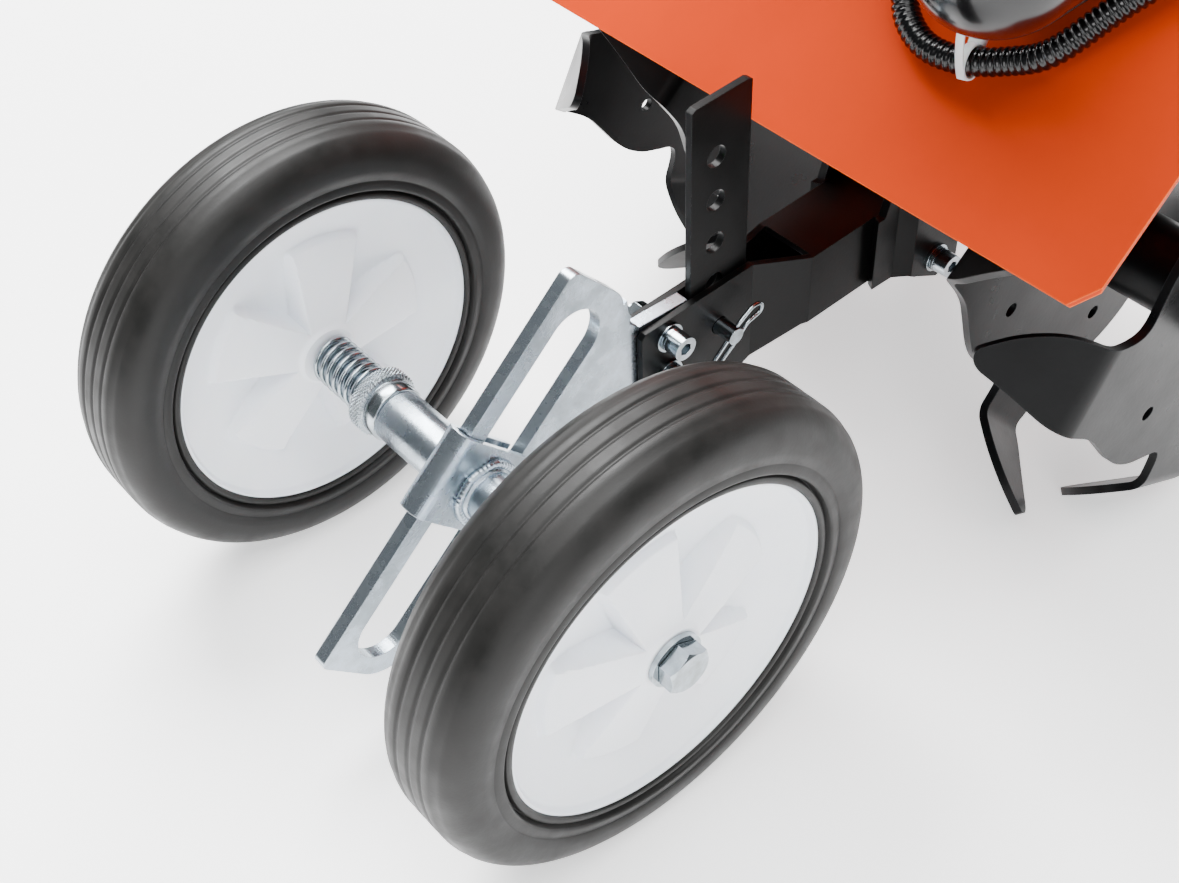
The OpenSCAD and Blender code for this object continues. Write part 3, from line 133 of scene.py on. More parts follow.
@dataclass(frozen=True)
class Finish:
    """One real surface: what it is made of and how it was made.

    The colour wanders between two shades, the roughness between two values, and a fine grain
    stands up from the surface. A bevel inside the shader rounds the edges for the light.
    """

    name: str
    shade: str
    other_shade: str
    roughness: tuple[float, float]
    patch_mm: float = 30.0
    grain_mm: float = 1.0
    grain_height_mm: float = 0.02
    metallic: float = 0.0
    ior: float = 1.5
    coat: float = 0.0
    coat_roughness: float = 0.1
    subsurface: float = 0.0
    specular: float = 0.5
    glow: float = 0.0
    edge_shade: str = ""
    edge_mm: float = 0.4

    def build(self) -> bpy.types.Material:
        """Make the material, or return it if it was already made.

        Returns:
            The Blender material of this finish.
        """
        title = f"{self.name}_surface"
        found = bpy.data.materials.get(title)
        if found is not None:
            return found
        material = bpy.data.materials.new(title)
        material.use_nodes = True
        tree = material.node_tree
        tree.nodes.clear()
        place = add_node(tree, "ShaderNodeTexCoord").outputs["Object"]
        patches = self._patches(tree, place)
        colour = self._colour(tree, patches)
        roughness = add_node(
            tree,
            "ShaderNodeMapRange",
            values={"To Min": self.roughness[0], "To Max": self.roughness[1]},
            links={"Value": patches},
        )
        shader = add_node(
            tree,
            "ShaderNodeBsdfPrincipled",
            values={
                "Metallic": self.metallic,
                "IOR": self.ior,
                "Specular IOR Level": self.specular,
                "Coat Weight": self.coat,
                "Coat Roughness": self.coat_roughness,
                "Subsurface Weight": self.subsurface,
                "Subsurface Scale": 0.004,
                "Emission Strength": self.glow,
            },
            links={
                "Base Color": colour,
                "Emission Color": colour,
                "Roughness": roughness.outputs["Result"],
                "Normal": self._grain(tree, place),
            },
        )
        add_node(tree, "ShaderNodeOutputMaterial", links={"Surface": shader.outputs["BSDF"]})
        return material

    def _patches(self, tree: bpy.types.NodeTree, place: bpy.types.NodeSocket) -> bpy.types.NodeSocket:
        """Return a value from 0 to 1 that wanders over the surface in patches.

        Args:
            tree: the material's node tree.
            place: the surface position that patterns follow.

        Returns:
            The socket with that value.
        """
        noise = add_node(
            tree,
            "ShaderNodeTexNoise",
            values={"Scale": per_mm(self.patch_mm), "Detail": 5.0, "Roughness": 0.6},
            links={"Vector": place},
        )
        spread = add_node(
            tree,
            "ShaderNodeMapRange",
            values={"From Min": 0.32, "From Max": 0.68},
            links={"Value": noise.outputs["Fac"]},
        )
        return spread.outputs["Result"]

    def _colour(self, tree: bpy.types.NodeTree, patches: bpy.types.NodeSocket) -> bpy.types.NodeSocket:
        """Return the surface colour: two shades, and a third along edges where it wears.

        Args:
            tree: the material's node tree.
            patches: the value that shares out the two shades.

        Returns:
            The socket with the colour.
        """
        base = add_node(
            tree,
            "ShaderNodeMix",
            settings={"data_type": "RGBA"},
            values={6: linear(self.shade), 7: linear(self.other_shade)},
            links={0: patches},
        )
        if not self.edge_shade:
            return base.outputs[2]
        edge = self._edge(tree)
        worn = add_node(
            tree,
            "ShaderNodeMix",
            settings={"data_type": "RGBA"},
            values={7: linear(self.edge_shade)},
            links={0: edge, 6: base.outputs[2]},
        )
        return worn.outputs[2]

    def _edge(self, tree: bpy.types.NodeTree) -> bpy.types.NodeSocket:
        """Return 1 close to sharp edges and 0 on flat stretches.

        Args:
            tree: the material's node tree.

        Returns:
            The socket with that value.
        """
        rounded = add_node(
            tree, "ShaderNodeBevel", settings={"samples": 4}, values={"Radius": 1.4 * self.edge_mm * MM}
        )
        flat = add_node(tree, "ShaderNodeNewGeometry")
        agree = add_node(
            tree,
            "ShaderNodeVectorMath",
            settings={"operation": "DOT_PRODUCT"},
            links={0: rounded.outputs["Normal"], 1: flat.outputs["Normal"]},
        )
        mask = add_node(
            tree,
            "ShaderNodeMapRange",
            values={"From Min": 0.985, "From Max": 0.9, "To Min": 0.0, "To Max": 0.85},
            links={"Value": agree.outputs["Value"]},
        )
        return mask.outputs["Result"]

    def _grain(self, tree: bpy.types.NodeTree, place: bpy.types.NodeSocket) -> bpy.types.NodeSocket:
        """Return the surface normal with the fine grain and softly rounded edges.

        Args:
            tree: the material's node tree.
            place: the surface position that patterns follow.

        Returns:
            The socket with the normal.
        """
        fine = add_node(
            tree,
            "ShaderNodeTexNoise",
            values={"Scale": per_mm(self.grain_mm), "Detail": 3.0},
            links={"Vector": place},
        )
        rounded = add_node(
            tree, "ShaderNodeBevel", settings={"samples": 4}, values={"Radius": self.edge_mm * MM}
        )
        bump = add_node(
            tree,
            "ShaderNodeBump",
            values={"Strength": 1.0, "Distance": self.grain_height_mm * MM},
            links={"Height": fine.outputs["Fac"], "Normal": rounded.outputs["Normal"]},
        )
        return bump.outputs["Normal"]


class Finishes:
    """Every finish on the machine."""

    # Solid carbon-black rubber straight from the mould: satin, with a faint bloom
    tyre_rubber = Finish(
        "tyre_rubber", "#131312", "#1a1918", (0.4, 0.55), patch_mm=14, grain_mm=1.2,
        grain_height_mm=0.035, ior=1.52, specular=0.22, edge_mm=0.3,
    )
    # Injection-moulded polypropylene, a clean white with a low sheen
    disc_plastic = Finish(
        "disc_plastic", "#f2f5fa", "#ebeff5", (0.34, 0.42), patch_mm=40, grain_mm=2.0,
        grain_height_mm=0.01, ior=1.49, subsurface=0.08, edge_mm=0.5,
    )
    # Rolled steel under clear-blue zinc: mirror-like with cloudy blue and yellow tints
    zinc_plate = Finish(
        "zinc_plate", "#b3bec8", "#959fa5", (0.2, 0.34), patch_mm=12, grain_mm=1.6,
        grain_height_mm=0.04, metallic=1.0, edge_shade="#b9c2c8", edge_mm=0.6,
    )
    # Turned and drawn steel under bright zinc, smoother than the plate
    zinc_turned = Finish(
        "zinc_turned", "#b1bac1", "#8f9799", (0.12, 0.24), patch_mm=7, grain_mm=2.5,
        grain_height_mm=0.03, metallic=1.0, edge_shade="#c2cad0", edge_mm=0.25,
    )
    # Satin black stove enamel over steel, worn grey on the corners
    black_enamel = Finish(
        "black_enamel", "#040404", "#070707", (0.3, 0.42), patch_mm=22, grain_mm=1.5,
        grain_height_mm=0.03, ior=1.5, specular=0.12, edge_shade="#1c1c1c", edge_mm=0.5,
    )
    # Dipped dark paint over the blades, thin and even with brighter cut edges
    tine_paint = Finish(
        "tine_paint", "#050506", "#08090a", (0.26, 0.38), patch_mm=35, grain_mm=1.8,
        grain_height_mm=0.03, ior=1.5, specular=0.12, edge_shade="#2a2c2e", edge_mm=0.5,
    )
    # Orange polyester powder coat, with its fine orange peel
    guard_powder = Finish(
        "guard_powder", "#b63100", "#ae2f00", (0.45, 0.52), patch_mm=60, grain_mm=2.2,
        grain_height_mm=0.012, ior=1.5, specular=0.1, edge_shade="#ff7a30", edge_mm=0.5,
    )
    # Pressure-cast aluminium, shot-blasted to an even grey
    cast_aluminium = Finish(
        "cast_aluminium", "#b3b5b6", "#a2a5a7", (0.42, 0.56), patch_mm=12, grain_mm=0.9,
        grain_height_mm=0.06, metallic=1.0, edge_shade="#cfd1d2", edge_mm=0.8,
    )
    # Cut gear bronze, warm with darker oil-stained patches
    gear_bronze = Finish(
        "gear_bronze", "#b98a4a", "#97692f", (0.3, 0.42), patch_mm=8, grain_mm=1.0,
        grain_height_mm=0.02, metallic=1.0, edge_mm=0.2,
    )
    # Glass-filled nylon with a spark-eroded texture
    black_nylon = Finish(
        "black_nylon", "#0b0b0c", "#101011", (0.5, 0.62), patch_mm=25, grain_mm=0.8,
        grain_height_mm=0.06, ior=1.53, edge_mm=0.7,
    )
    # Polished polyethylene, nearly mirror black
    gloss_polymer = Finish(
        "gloss_polymer", "#030304", "#050506", (0.14, 0.24), patch_mm=30, grain_mm=4.0,
        grain_height_mm=0.01, ior=1.52, specular=0.35, coat=0.1, coat_roughness=0.06, edge_mm=0.6,
    )
    # Red moulded nylon for what the hand works
    red_nylon = Finish(
        "red_nylon", "#c2281c", "#b02015", (0.3, 0.42), patch_mm=12, grain_mm=1.0,
        grain_height_mm=0.03, ior=1.53, edge_mm=0.5,
    )
    # Natural nylon, a milky grey-white that lets a little light in
    tie_nylon = Finish(
        "tie_nylon", "#dcdedf", "#cfd2d3", (0.35, 0.45), patch_mm=6, grain_mm=1.0,
        grain_height_mm=0.02, ior=1.53, subsurface=0.2, edge_mm=0.3,
    )
    # Heat-proof silicone paint, flat and slightly burnt brown
    exhaust_paint = Finish(
        "exhaust_paint", "#3b3a39", "#4a433c", (0.62, 0.78), patch_mm=15, grain_mm=0.7,
        grain_height_mm=0.08, metallic=0.3, edge_shade="#6a6258", edge_mm=0.6,
    )
    # Glazed alumina of the spark plug
    glazed_ceramic = Finish(
        "glazed_ceramic", "#f1efe8", "#e6e3da", (0.12, 0.2), patch_mm=8, grain_mm=2.0,
        grain_height_mm=0.01, ior=1.6, coat=0.6, coat_roughness=0.05, edge_mm=0.3,
    )
    # Soft PVC grip, matt with a dusty bloom
    grip_vinyl = Finish(
        "grip_vinyl", "#1f1f1f", "#292929", (0.6, 0.75), patch_mm=18, grain_mm=0.9,
        grain_height_mm=0.07, ior=1.52, edge_mm=0.5,
    )
    # Opal light table that glows evenly, so the ground stays white
    studio_paper = Finish(
        "studio_paper", "#ffffff", "#fbfbfb", (0.85, 0.9), patch_mm=400, grain_mm=3.0,
        grain_height_mm=0.01, edge_mm=0.1, glow=0.9,
    )


# ------------------------------------------------------------------ helpers for meshes


def mesh_piece(
    name: str,
    points: Sequence[Sequence[float]],
    faces: Sequence[Sequence[int]],
    finish: Finish,
    smooth: bool = True,
) -> bpy.types.Object:
    """Make a mesh object in metres.

    Args:
        name: the piece's name.
        points: corners, in metres.
        faces: corner numbers of each face.
        finish: surface of the piece.
        smooth: True shades the faces smoothly.

    Returns:
        The new object, linked to the scene.
    """
    mesh = bpy.data.meshes.new(name)
    mesh.from_pydata([tuple(p) for p in points], [], [tuple(f) for f in faces])
    build = bmesh.new()
    build.from_mesh(mesh)
    bmesh.ops.remove_doubles(build, verts=build.verts, dist=1e-7)
    bmesh.ops.recalc_face_normals(build, faces=build.faces)
    build.to_mesh(mesh)
    build.free()
    for face in mesh.polygons:
        face.use_smooth = smooth
    mesh.materials.append(finish.build())
    piece = bpy.data.objects.new(name, mesh)
    bpy.context.scene.collection.objects.link(piece)
    return piece


def spin_x(
    name: str,
    outline: Sequence[tuple[float, float]],
    centre: Point,
    finish: Finish,
    steps: int,
    shift: Callable[[float, float, float], float] | None = None,
) -> bpy.types.Object:
    """Turn a closed outline round an axis along X.

    Args:
        name: the piece's name.
        outline: radius and place along X of each outline point, in metres.
        centre: a point of the axis.
        finish: surface of the piece.
        steps: how many stretches go round.
        shift: change of radius, given radius, place along X and angle.

    Returns:
        The new object.
    """
    points: list[Point] = []
    count = len(outline)
    for i in range(steps):
        angle = 2 * math.pi * i / steps
        for radius, along in outline:
            r = radius + (shift(radius, along, angle) if shift else 0.0)
            y = centre[1] + r * math.cos(angle)
            z = centre[2] + r * math.sin(angle)
            points.append((centre[0] + along, y, z))
    faces = [
        (i * count + k, i * count + (k + 1) % count, ((i + 1) % steps) * count + (k + 1) % count,
         ((i + 1) % steps) * count + k)
        for i in range(steps)
        for k in range(count)
    ]
    return mesh_piece(name, points, faces, finish)


def sweep(
    name: str,
    path: Sequence[Vector],
    radii: Sequence[float],
    sides: int,
    finish: Finish,
) -> bpy.types.Object:
    """Sweep a round section along a path with its ends closed.

    Args:
        name: the piece's name.
        path: centre points, in metres.
        radii: the radius at each point, in metres.
        sides: how many sides the section has.
        finish: surface of the piece.

    Returns:
        The new object.
    """
    points: list[Vector] = []
    normal = Vector((0, 0, 1))
    last = len(path) - 1
    for i, here in enumerate(path):
        ahead = (path[min(i + 1, last)] - path[max(i - 1, 0)]).normalized()
        normal = (normal - normal.dot(ahead) * ahead).normalized()
        side = ahead.cross(normal)
        for k in range(sides):
            angle = 2 * math.pi * k / sides
            points.append(here + radii[i] * (math.cos(angle) * normal + math.sin(angle) * side))
    faces: list[Sequence[int]] = [
        (i * sides + k, i * sides + (k + 1) % sides, (i + 1) * sides + (k + 1) % sides, (i + 1) * sides + k)
        for i in range(last)
        for k in range(sides)
    ]
    faces.append(list(range(sides))[::-1])
    faces.append([last * sides + k for k in range(sides)])
    return mesh_piece(name, points, faces, finish)


def curve_through(points: Sequence[Point], steps: int) -> list[Vector]:
    """Return a smooth line through points given in millimetres.

    Args:
        points: the points to pass through.
        steps: how many stretches each span is cut into.

    Returns:
        Points along the line, in metres.
    """
    knots = [Vector(p) * MM for p in points]
    knots = [knots[0], *knots, knots[-1]]
    line: list[Vector] = []
    for i in range(1, len(knots) - 2):
        a, b, c, d = knots[i - 1 : i + 3]
        for k in range(steps):
            t = k / steps
            line.append(
                0.5
                * (2 * b + (c - a) * t + (2 * a - 5 * b + 4 * c - d) * t**2 + (3 * b - a - 3 * c + d) * t**3)
            )
    line.append(knots[-1])
    return line


def ribbon(
    name: str, path: Sequence[Vector], wide: Vector, size: tuple[float, float], closed: bool
) -> bpy.types.Object:
    """Draw a nylon tie's flat strip along a path.

    Args:
        name: the piece's name.
        path: centre points, in millimetres.
        wide: direction of the strip's width.
        size: the strip's width and thickness, in millimetres.
        closed: True joins the last point to the first.

    Returns:
        The strip, which rides the frame in place of the CAD ties.
    """
    last = len(path) - 1
    points: list[Vector] = []
    for i, here in enumerate(path):
        ahead = path[(i + 1) % len(path) if closed else min(i + 1, last)]
        behind = path[i - 1] if closed or i else path[0]
        out = (ahead - behind).normalized().cross(wide).normalized()
        for across, lift in ((-0.5, -0.35), (-0.35, -0.5), (0.35, -0.5), (0.5, -0.35),
                             (0.5, 0.35), (0.35, 0.5), (-0.35, 0.5), (-0.5, 0.35)):
            points.append((here + wide * across * size[0] + out * lift * size[1]) * MM)
    faces: list[Sequence[int]] = [
        (i * 8 + k, i * 8 + (k + 1) % 8, (i + 1) % len(path) * 8 + (k + 1) % 8, (i + 1) % len(path) * 8 + k)
        for i in range(len(path) if closed else last)
        for k in range(8)
    ]
    if not closed:
        faces += [tuple(range(8))[::-1], tuple(last * 8 + k for k in range(8))]
    piece = mesh_piece(name, points, faces, Finishes.tie_nylon)
    piece.data.set_sharp_from_angle(angle=math.radians(50))
    return settle(piece, "frame", "white_plastic", "cable_ties")


def even_steps(line: Sequence[Vector], step: float) -> list[Vector]:
    """Return points at an even distance along a line, both ends kept.

    Args:
        line: the line's points.
        step: wanted distance between points, in metres.

    Returns:
        The evenly spaced points.
    """
    lengths = [0.0]
    for a, b in zip(line, line[1:]):
        lengths.append(lengths[-1] + (b - a).length)
    count = max(2, round(lengths[-1] / step))
    out: list[Vector] = []
    j = 0
    for i in range(count + 1):
        want = lengths[-1] * i / count
        while j < len(lengths) - 2 and lengths[j + 1] < want:
            j += 1
        share = (want - lengths[j]) / max(lengths[j + 1] - lengths[j], 1e-9)
        out.append(line[j].lerp(line[j + 1], min(max(share, 0.0), 1.0)))
    return out


def settle(piece: bpy.types.Object, body: str, slot: str, *nodes: str) -> bpy.types.Object:
    """Hang a finished piece on its body and hide the CAD nodes it stands for.

    Args:
        piece: the finished piece.
        body: the CAD body it moves with.
        slot: not used.
        nodes: the CAD nodes it stands for.

    Returns:
        The same piece.
    """
    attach(piece, body)
    if nodes:
        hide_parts(*nodes)
    LOG.info("%s rides on %s, %d faces", piece.name, body, len(piece.data.polygons))
    return piece


def dress(frame: dict[str, Any], finish: Finish, nodes: Iterable[str], smooth_angle: float = 32.0) -> None:
    """Give CAD nodes their finish and smooth their round faces.

    Args:
        finish: the surface to give.
        nodes: names of the CAD nodes.
        smooth_angle: faces that meet at less than this many degrees shade as one.
    """
    for name in nodes:
        node = frame["nodes"][name]
        node.data.materials.clear()
        node.data.materials.append(finish.build())
        node.data.shade_smooth()
        node.data.set_sharp_from_angle(angle=math.radians(smooth_angle))
        LOG.info("%s dressed in %s", name, finish.name)


def centre_of(node: str) -> Vector:
    """Return the middle of a CAD node's box."""
    low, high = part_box(node)
    return (low + high) / 2


def blend_step(value: float, low: float, high: float) -> float:
    """Return 0 below low, 1 above high and a soft step between."""
    t = min(max((value - low) / (high - low), 0.0), 1.0)
    return t * t * (3 - 2 * t)


# ------------------------------------------------------------------ transport wheels


class Side(Enum):
    """Left or right of the machine."""

    LEFT = -1
    RIGHT = 1


@dataclass
class TransportWheel:
    """Solid rubber tyre on a moulded disc. Sizes in millimetres."""

    side: Side
    rim_radius: float = 71.5
    lip_half: float = 20.6
    shoulder_radius: float = 14.0
    groove_places: tuple[float, ...] = (-12.4, -6.6, 0.0, 6.6, 12.4)
    groove_depth: float = 0.6
    groove_half: float = 1.2
    lip_radius: float = 74.6
    step_radius: float = 80.6
    bore_radius: float = 5.06
    hub_radius: float = 13.0
    spoke_count: int = 5
    spoke_end: float = 52.0
    bowl_floor: float = 5.0
    bowl_start: float = 20.0
    steps: int = 240

    @property
    def label(self) -> str:
        """Word that tells the two wheels apart."""
        return self.side.name.lower()

    @property
    def spoke_phase(self) -> float:
        """Angle of the first spoke, in degrees; each wheel has stopped where it liked."""
        return 25.0 if self.side is Side.RIGHT else 3.5

    def tyre_outline(self, outer: float, half: float) -> list[tuple[float, float]]:
        """Return the tyre's section.

        Args:
            outer: outside radius, in millimetres.
            half: half the width, in millimetres.

        Returns:
            Radius and place along the axle of each point, in metres.
        """
        flat = half - self.shoulder_radius
        base = outer - self.shoulder_radius
        side: list[tuple[float, float]] = [
            (self.rim_radius + 0.1, self.lip_half - 3.0),
            (self.rim_radius + 0.2, self.lip_half - 0.6),
            (self.rim_radius + 0.9, self.lip_half - 0.1),
            (self.lip_radius - 0.8, self.lip_half),
            (self.lip_radius, self.lip_half - 0.5),
            (self.lip_radius + 0.2, self.lip_half - 3.2),
            (self.lip_radius + 1.0, self.lip_half - 3.4),
            (self.lip_radius + 1.3, half - 1.2),
            (self.lip_radius + 1.9, half - 0.35),
            (self.lip_radius + 2.6, half - 0.25),
            (self.step_radius - 0.5, half - 0.45),
            (self.step_radius - 0.1, half - 0.75),
            (self.step_radius + 0.3, half - 0.1),
            (base - 1.0, half),
        ]
        turns = 14
        for i in range(turns + 1):
            a = math.pi / 2 * i / turns
            radius = base + self.shoulder_radius * math.sin(a)
            side.append((radius, flat + self.shoulder_radius * math.cos(a)))
        crown = [self._grooved(base + self.shoulder_radius, flat - 2 * flat * i / 64) for i in range(1, 64)]
        right = [self._grooved(r, x) for r, x in side]
        left = [self._grooved(r, -x) for r, x in reversed(side)]
        return [(r * MM, x * MM) for r, x in right + crown + left]

    def _grooved(self, radius: float, along: float) -> tuple[float, float]:
        """Lower a tread point where it lies in a groove.

        Args:
            radius: distance of the point from the axle, in millimetres.
            along: place of the point along the axle, in millimetres.

        Returns:
            The point's new radius, and its place along the axle.
        """
        cut = 0.0
        if radius > self.rim_radius + 20:
            for place in self.groove_places:
                cut = max(cut, math.exp(-(((along - place) / self.groove_half) ** 2) * 2))
        return radius - self.groove_depth * cut, along

    def face_height(self, radius: float, angle: float, rim_half: float) -> float:
        """Return how far the disc's face stands from its middle plane.

        Args:
            radius: distance from the axle, in millimetres.
            angle: angle round the axle, in radians.
            rim_half: half the width of the rim, in millimetres.

        Returns:
            The height in millimetres.
        """
        bowl = self.bowl_floor
        if radius > self.bowl_start:
            reach = (radius - self.bowl_start) / (self.rim_radius - 2.5 - self.bowl_start)
            bowl += (rim_half - 3.2 - self.bowl_floor) * min(reach, 1.0) ** 2.4
        pitch = 2 * math.pi / self.spoke_count
        turn = (angle - math.radians(self.spoke_phase) + pitch / 2) % pitch - pitch / 2
        across = abs(radius * math.sin(turn))
        half = 9.5 + max(radius - 14, 0.0) * 0.19
        crest = rim_half - 1.5 - 6.0 * max(radius - 12, 0.0) / (self.spoke_end - 12)
        on_spoke = blend_step(half - across, -0.9, 0.9) * blend_step(self.spoke_end - radius, -1.2, 1.2)
        height = bowl + max(crest - bowl, 0.0) * on_spoke
        hub = blend_step(self.hub_radius - radius, -1.2, 0.5)
        height += (rim_half - height) * hub
        rim = blend_step(radius, self.rim_radius - 2.2, self.rim_radius - 1.2)
        return height + (rim_half - 0.6 - height) * rim

    def build_tyre(self) -> bpy.types.Object:
        """Make the tyre in place of its CAD solid.

        Returns:
            The tyre.
        """
        node = f"tyre_{self.label}"
        low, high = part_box(node)
        middle = centre_of(node)
        outline = self.tyre_outline((high.z - low.z) / 2 / MM, (high.x - low.x) / 2 / MM)
        piece = spin_x(f"tread_{self.label}", outline, tuple(middle), Finishes.tyre_rubber, self.steps)
        return settle(piece, f"wheel_{self.label}", "tyre_rubber", node)

    def build_disc(self) -> bpy.types.Object:
        """Make the moulded disc with its spokes and pockets on both faces.

        Returns:
            The disc.
        """
        node = f"wheel_disc_{self.label}"
        low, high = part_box(node)
        middle = centre_of(node)
        half = (high.x - low.x) / 2 / MM
        inner = [self.bore_radius, 6.5, 10.0, 12.0, 12.6, 13.2, 13.8, 14.6]
        radii = inner + [14.6 + i * 1.2 for i in range(1, 30)]
        radii += [50.2, 50.8, 51.2, 51.6, 52.0, 52.4, 52.8, 53.4, 54.4]
        radii += [56.0 + i * 1.7 for i in range(8)]
        radii += [68.6, 69.2, 69.6, 70.0, 70.4, self.rim_radius - 0.4, self.rim_radius]
        count = len(radii)
        steps = 300
        points: list[Point] = []
        for face in (1, -1):
            for i in range(steps):
                angle = 2 * math.pi * i / steps
                for r in radii:
                    h = self.face_height(r, angle * face, half)
                    points.append((
                        middle.x + face * h * MM,
                        middle.y + r * MM * math.cos(angle),
                        middle.z + r * MM * math.sin(angle),
                    ))
        faces: list[Sequence[int]] = []
        back = steps * count
        for i in range(steps):
            j = (i + 1) % steps
            for k in range(count - 1):
                faces.append((i * count + k, i * count + k + 1, j * count + k + 1, j * count + k))
                faces.append((back + i * count + k, back + j * count + k, back + j * count + k + 1,
                              back + i * count + k + 1))
            for k in (0, count - 1):
                faces.append((i * count + k, j * count + k, back + j * count + k, back + i * count + k))
        piece = mesh_piece(f"spoked_disc_{self.label}", points, faces, Finishes.disc_plastic)
        piece.data.set_sharp_from_angle(angle=math.radians(40))
        return settle(piece, f"wheel_{self.label}", "disc_plastic", node)

    def build(self) -> None:
        """Make the whole wheel."""
        self.build_tyre()
        self.build_disc()


# ------------------------------------------------------------------ wheel carriage


@dataclass
class Carriage:
    """The sliding carriage with its weld beads, knurled collar and spring. Sizes in millimetres."""

    frame: dict[str, Any]
    bead_radius: float = 13.2
    bead_thickness: float = 1.7
    bead_ripples: int = 44
    spring_turns: float = 7.0
    spring_radius: float = 9.6
    wire_radius: float = 1.05
    wire_sides: int = 12
    knurl_count: int = 44
    knurl_depth: float = 0.8
    collar_bore: float = 8.06

    def build_beads(self) -> None:
        """Lay a rippled weld bead round each axle tube where it meets the sleeve."""
        axle = centre_of("axle_bolt")
        low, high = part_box("slot_bush")
        face = max(abs(low.x), abs(high.x)) + 3.2 * MM
        for side in Side:
            path: list[Vector] = []
            radii: list[float] = []
            steps = self.bead_ripples * 6
            for i in range(steps + 1):
                angle = 2 * math.pi * i / steps
                ripple = abs(math.sin(angle * self.bead_ripples / 2))
                radius = (self.bead_radius + 0.25 * math.sin(7 * angle)) * MM
                path.append(Vector((side.value * (face + 1.0 * MM), axle.y + radius * math.cos(angle),
                                    axle.z + radius * math.sin(angle))))
                radii.append((self.bead_thickness + 0.16 * ripple) * MM)
            bead = sweep(f"weld_bead_{side.name.lower()}", path, radii, 10, Finishes.zinc_plate)
            settle(bead, "carriage", "zinc_steel")

    def build_collar(self) -> None:
        """Turn the locking collar with a diamond knurl on its wide band."""
        low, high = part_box("lock_collar")
        axle = centre_of("lock_collar")
        length = (high.x - low.x) / MM
        outer = (high.z - low.z) / 2 / MM
        band = 7.4
        outline = [(self.collar_bore, 0.0), (outer - 1.9, 0.0), (outer - 1.0, 0.35)]
        outline += [(outer - 0.25, 1.0 + (band - 1.6) * i / 22) for i in range(23)]
        outline += [(outer - 1.2, band), (outer - 1.9, band + 0.4), (outer - 1.9, length - 1.0),
                    (outer - 2.2, length - 0.4), (outer - 2.7, length), (self.collar_bore, length)]
        slope = 2 * math.pi / self.knurl_count / (1.45 * MM)

        def knurl(radius: float, along: float, angle: float) -> float:
            """Raise small pyramids on the wide band only."""
            if not (0.9 * MM < along < (band - 0.5) * MM and radius > (outer - 0.5) * MM):
                return 0.0
            one = math.cos(self.knurl_count / 2 * (angle + slope * along))
            two = math.cos(self.knurl_count / 2 * (angle - slope * along))
            return self.knurl_depth * MM * (0.5 - max(abs(one) ** 6, abs(two) ** 6))

        piece = spin_x("knurled_collar", [(r * MM, x * MM) for r, x in outline],
                       (low.x, axle.y, axle.z), Finishes.zinc_turned, self.knurl_count * 12, knurl)
        piece.data.set_sharp_from_angle(angle=math.radians(50))
        settle(piece, "collar", "zinc_steel", "lock_collar")

    def build_spring(self) -> None:
        """Wind the compression spring."""
        low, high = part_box("lock_spring")
        axle = centre_of("axle_bolt")
        start = low.x + self.wire_radius * MM
        reach = high.x - low.x - 2 * self.wire_radius * MM
        steps = int(self.spring_turns * 40)
        path: list[Vector] = []
        for i in range(steps + 1):
            t = i / steps
            angle = 2 * math.pi * self.spring_turns * t
            path.append(Vector((start + reach * t, axle.y + self.spring_radius * MM * math.cos(angle),
                                axle.z + self.spring_radius * MM * math.sin(angle))))
        wire = [self.wire_radius * MM] * len(path)
        piece = sweep("wound_spring", path, wire, self.wire_sides, Finishes.zinc_turned)
        settle(piece, "carriage", "zinc_steel", "lock_spring")
        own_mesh(piece)

    def build(self) -> None:
        """Make the carriage's own pieces and dress the CAD ones."""
        self.build_beads()
        self.build_collar()
        self.build_spring()
        dress(self.frame, Finishes.zinc_plate, ["carriage_sleeve"])
        dress(self.frame, Finishes.zinc_turned, ["axle_bolt", "axle_fasteners", "slot_bush"])


# ------------------------------------------------------------------ drag bar, stake and clip


@dataclass
class DragBar:
    """Slotted plate, drag bar, stake, pin and clip. Sizes in millimetres."""

    frame: dict[str, Any]
    clip_angle: float = 42.0
    clip_x: float = 13.6
    clip_wire: float = 0.9
    clip_points: tuple[Point, ...] = (
        (0, -20, 0), (0, -6, 0), (0, 4, 0), (0, 9, -0.8), (0, 13, -1.8), (0, 15.6, -4.4), (0, 15.4, -7.4),
        (0, 12.8, -8.4), (0, 9.6, -6.8), (0, 6.4, -5.2), (0, 2.6, -5.3), (0, -1.5, -5.5), (0, -5, -5.3),
        (0, -8.5, -5), (0, -12, -4.9), (0, -16, -6),
    )

    def build_clip(self) -> None:
        """Bend the R-clip from round wire."""
        pin = centre_of("clevis_pin")
        place = Matrix.Translation((self.clip_x * MM, pin.y, pin.z)) @ Matrix.Rotation(
            math.radians(self.clip_angle), 4, "X"
        )
        line = [place @ p for p in curve_through(self.clip_points, 10)]
        piece = sweep("bent_clip", line, [self.clip_wire * MM] * len(line), 14, Finishes.zinc_turned)
        settle(piece, "clip", "zinc_steel", "r_clip")

    def build(self) -> None:
        """Make the clip and dress the CAD pieces."""
        self.build_clip()
        dress(self.frame, Finishes.zinc_plate, ["slotted_plate"])
        dress(self.frame, Finishes.zinc_turned, ["bracket_fasteners", "flange_bolts", "clevis_pin"])
        dress(self.frame, Finishes.black_enamel, ["drag_bar", "bar_side_plates", "depth_stake"])


# ------------------------------------------------------------------ rotor, gearbox and guard


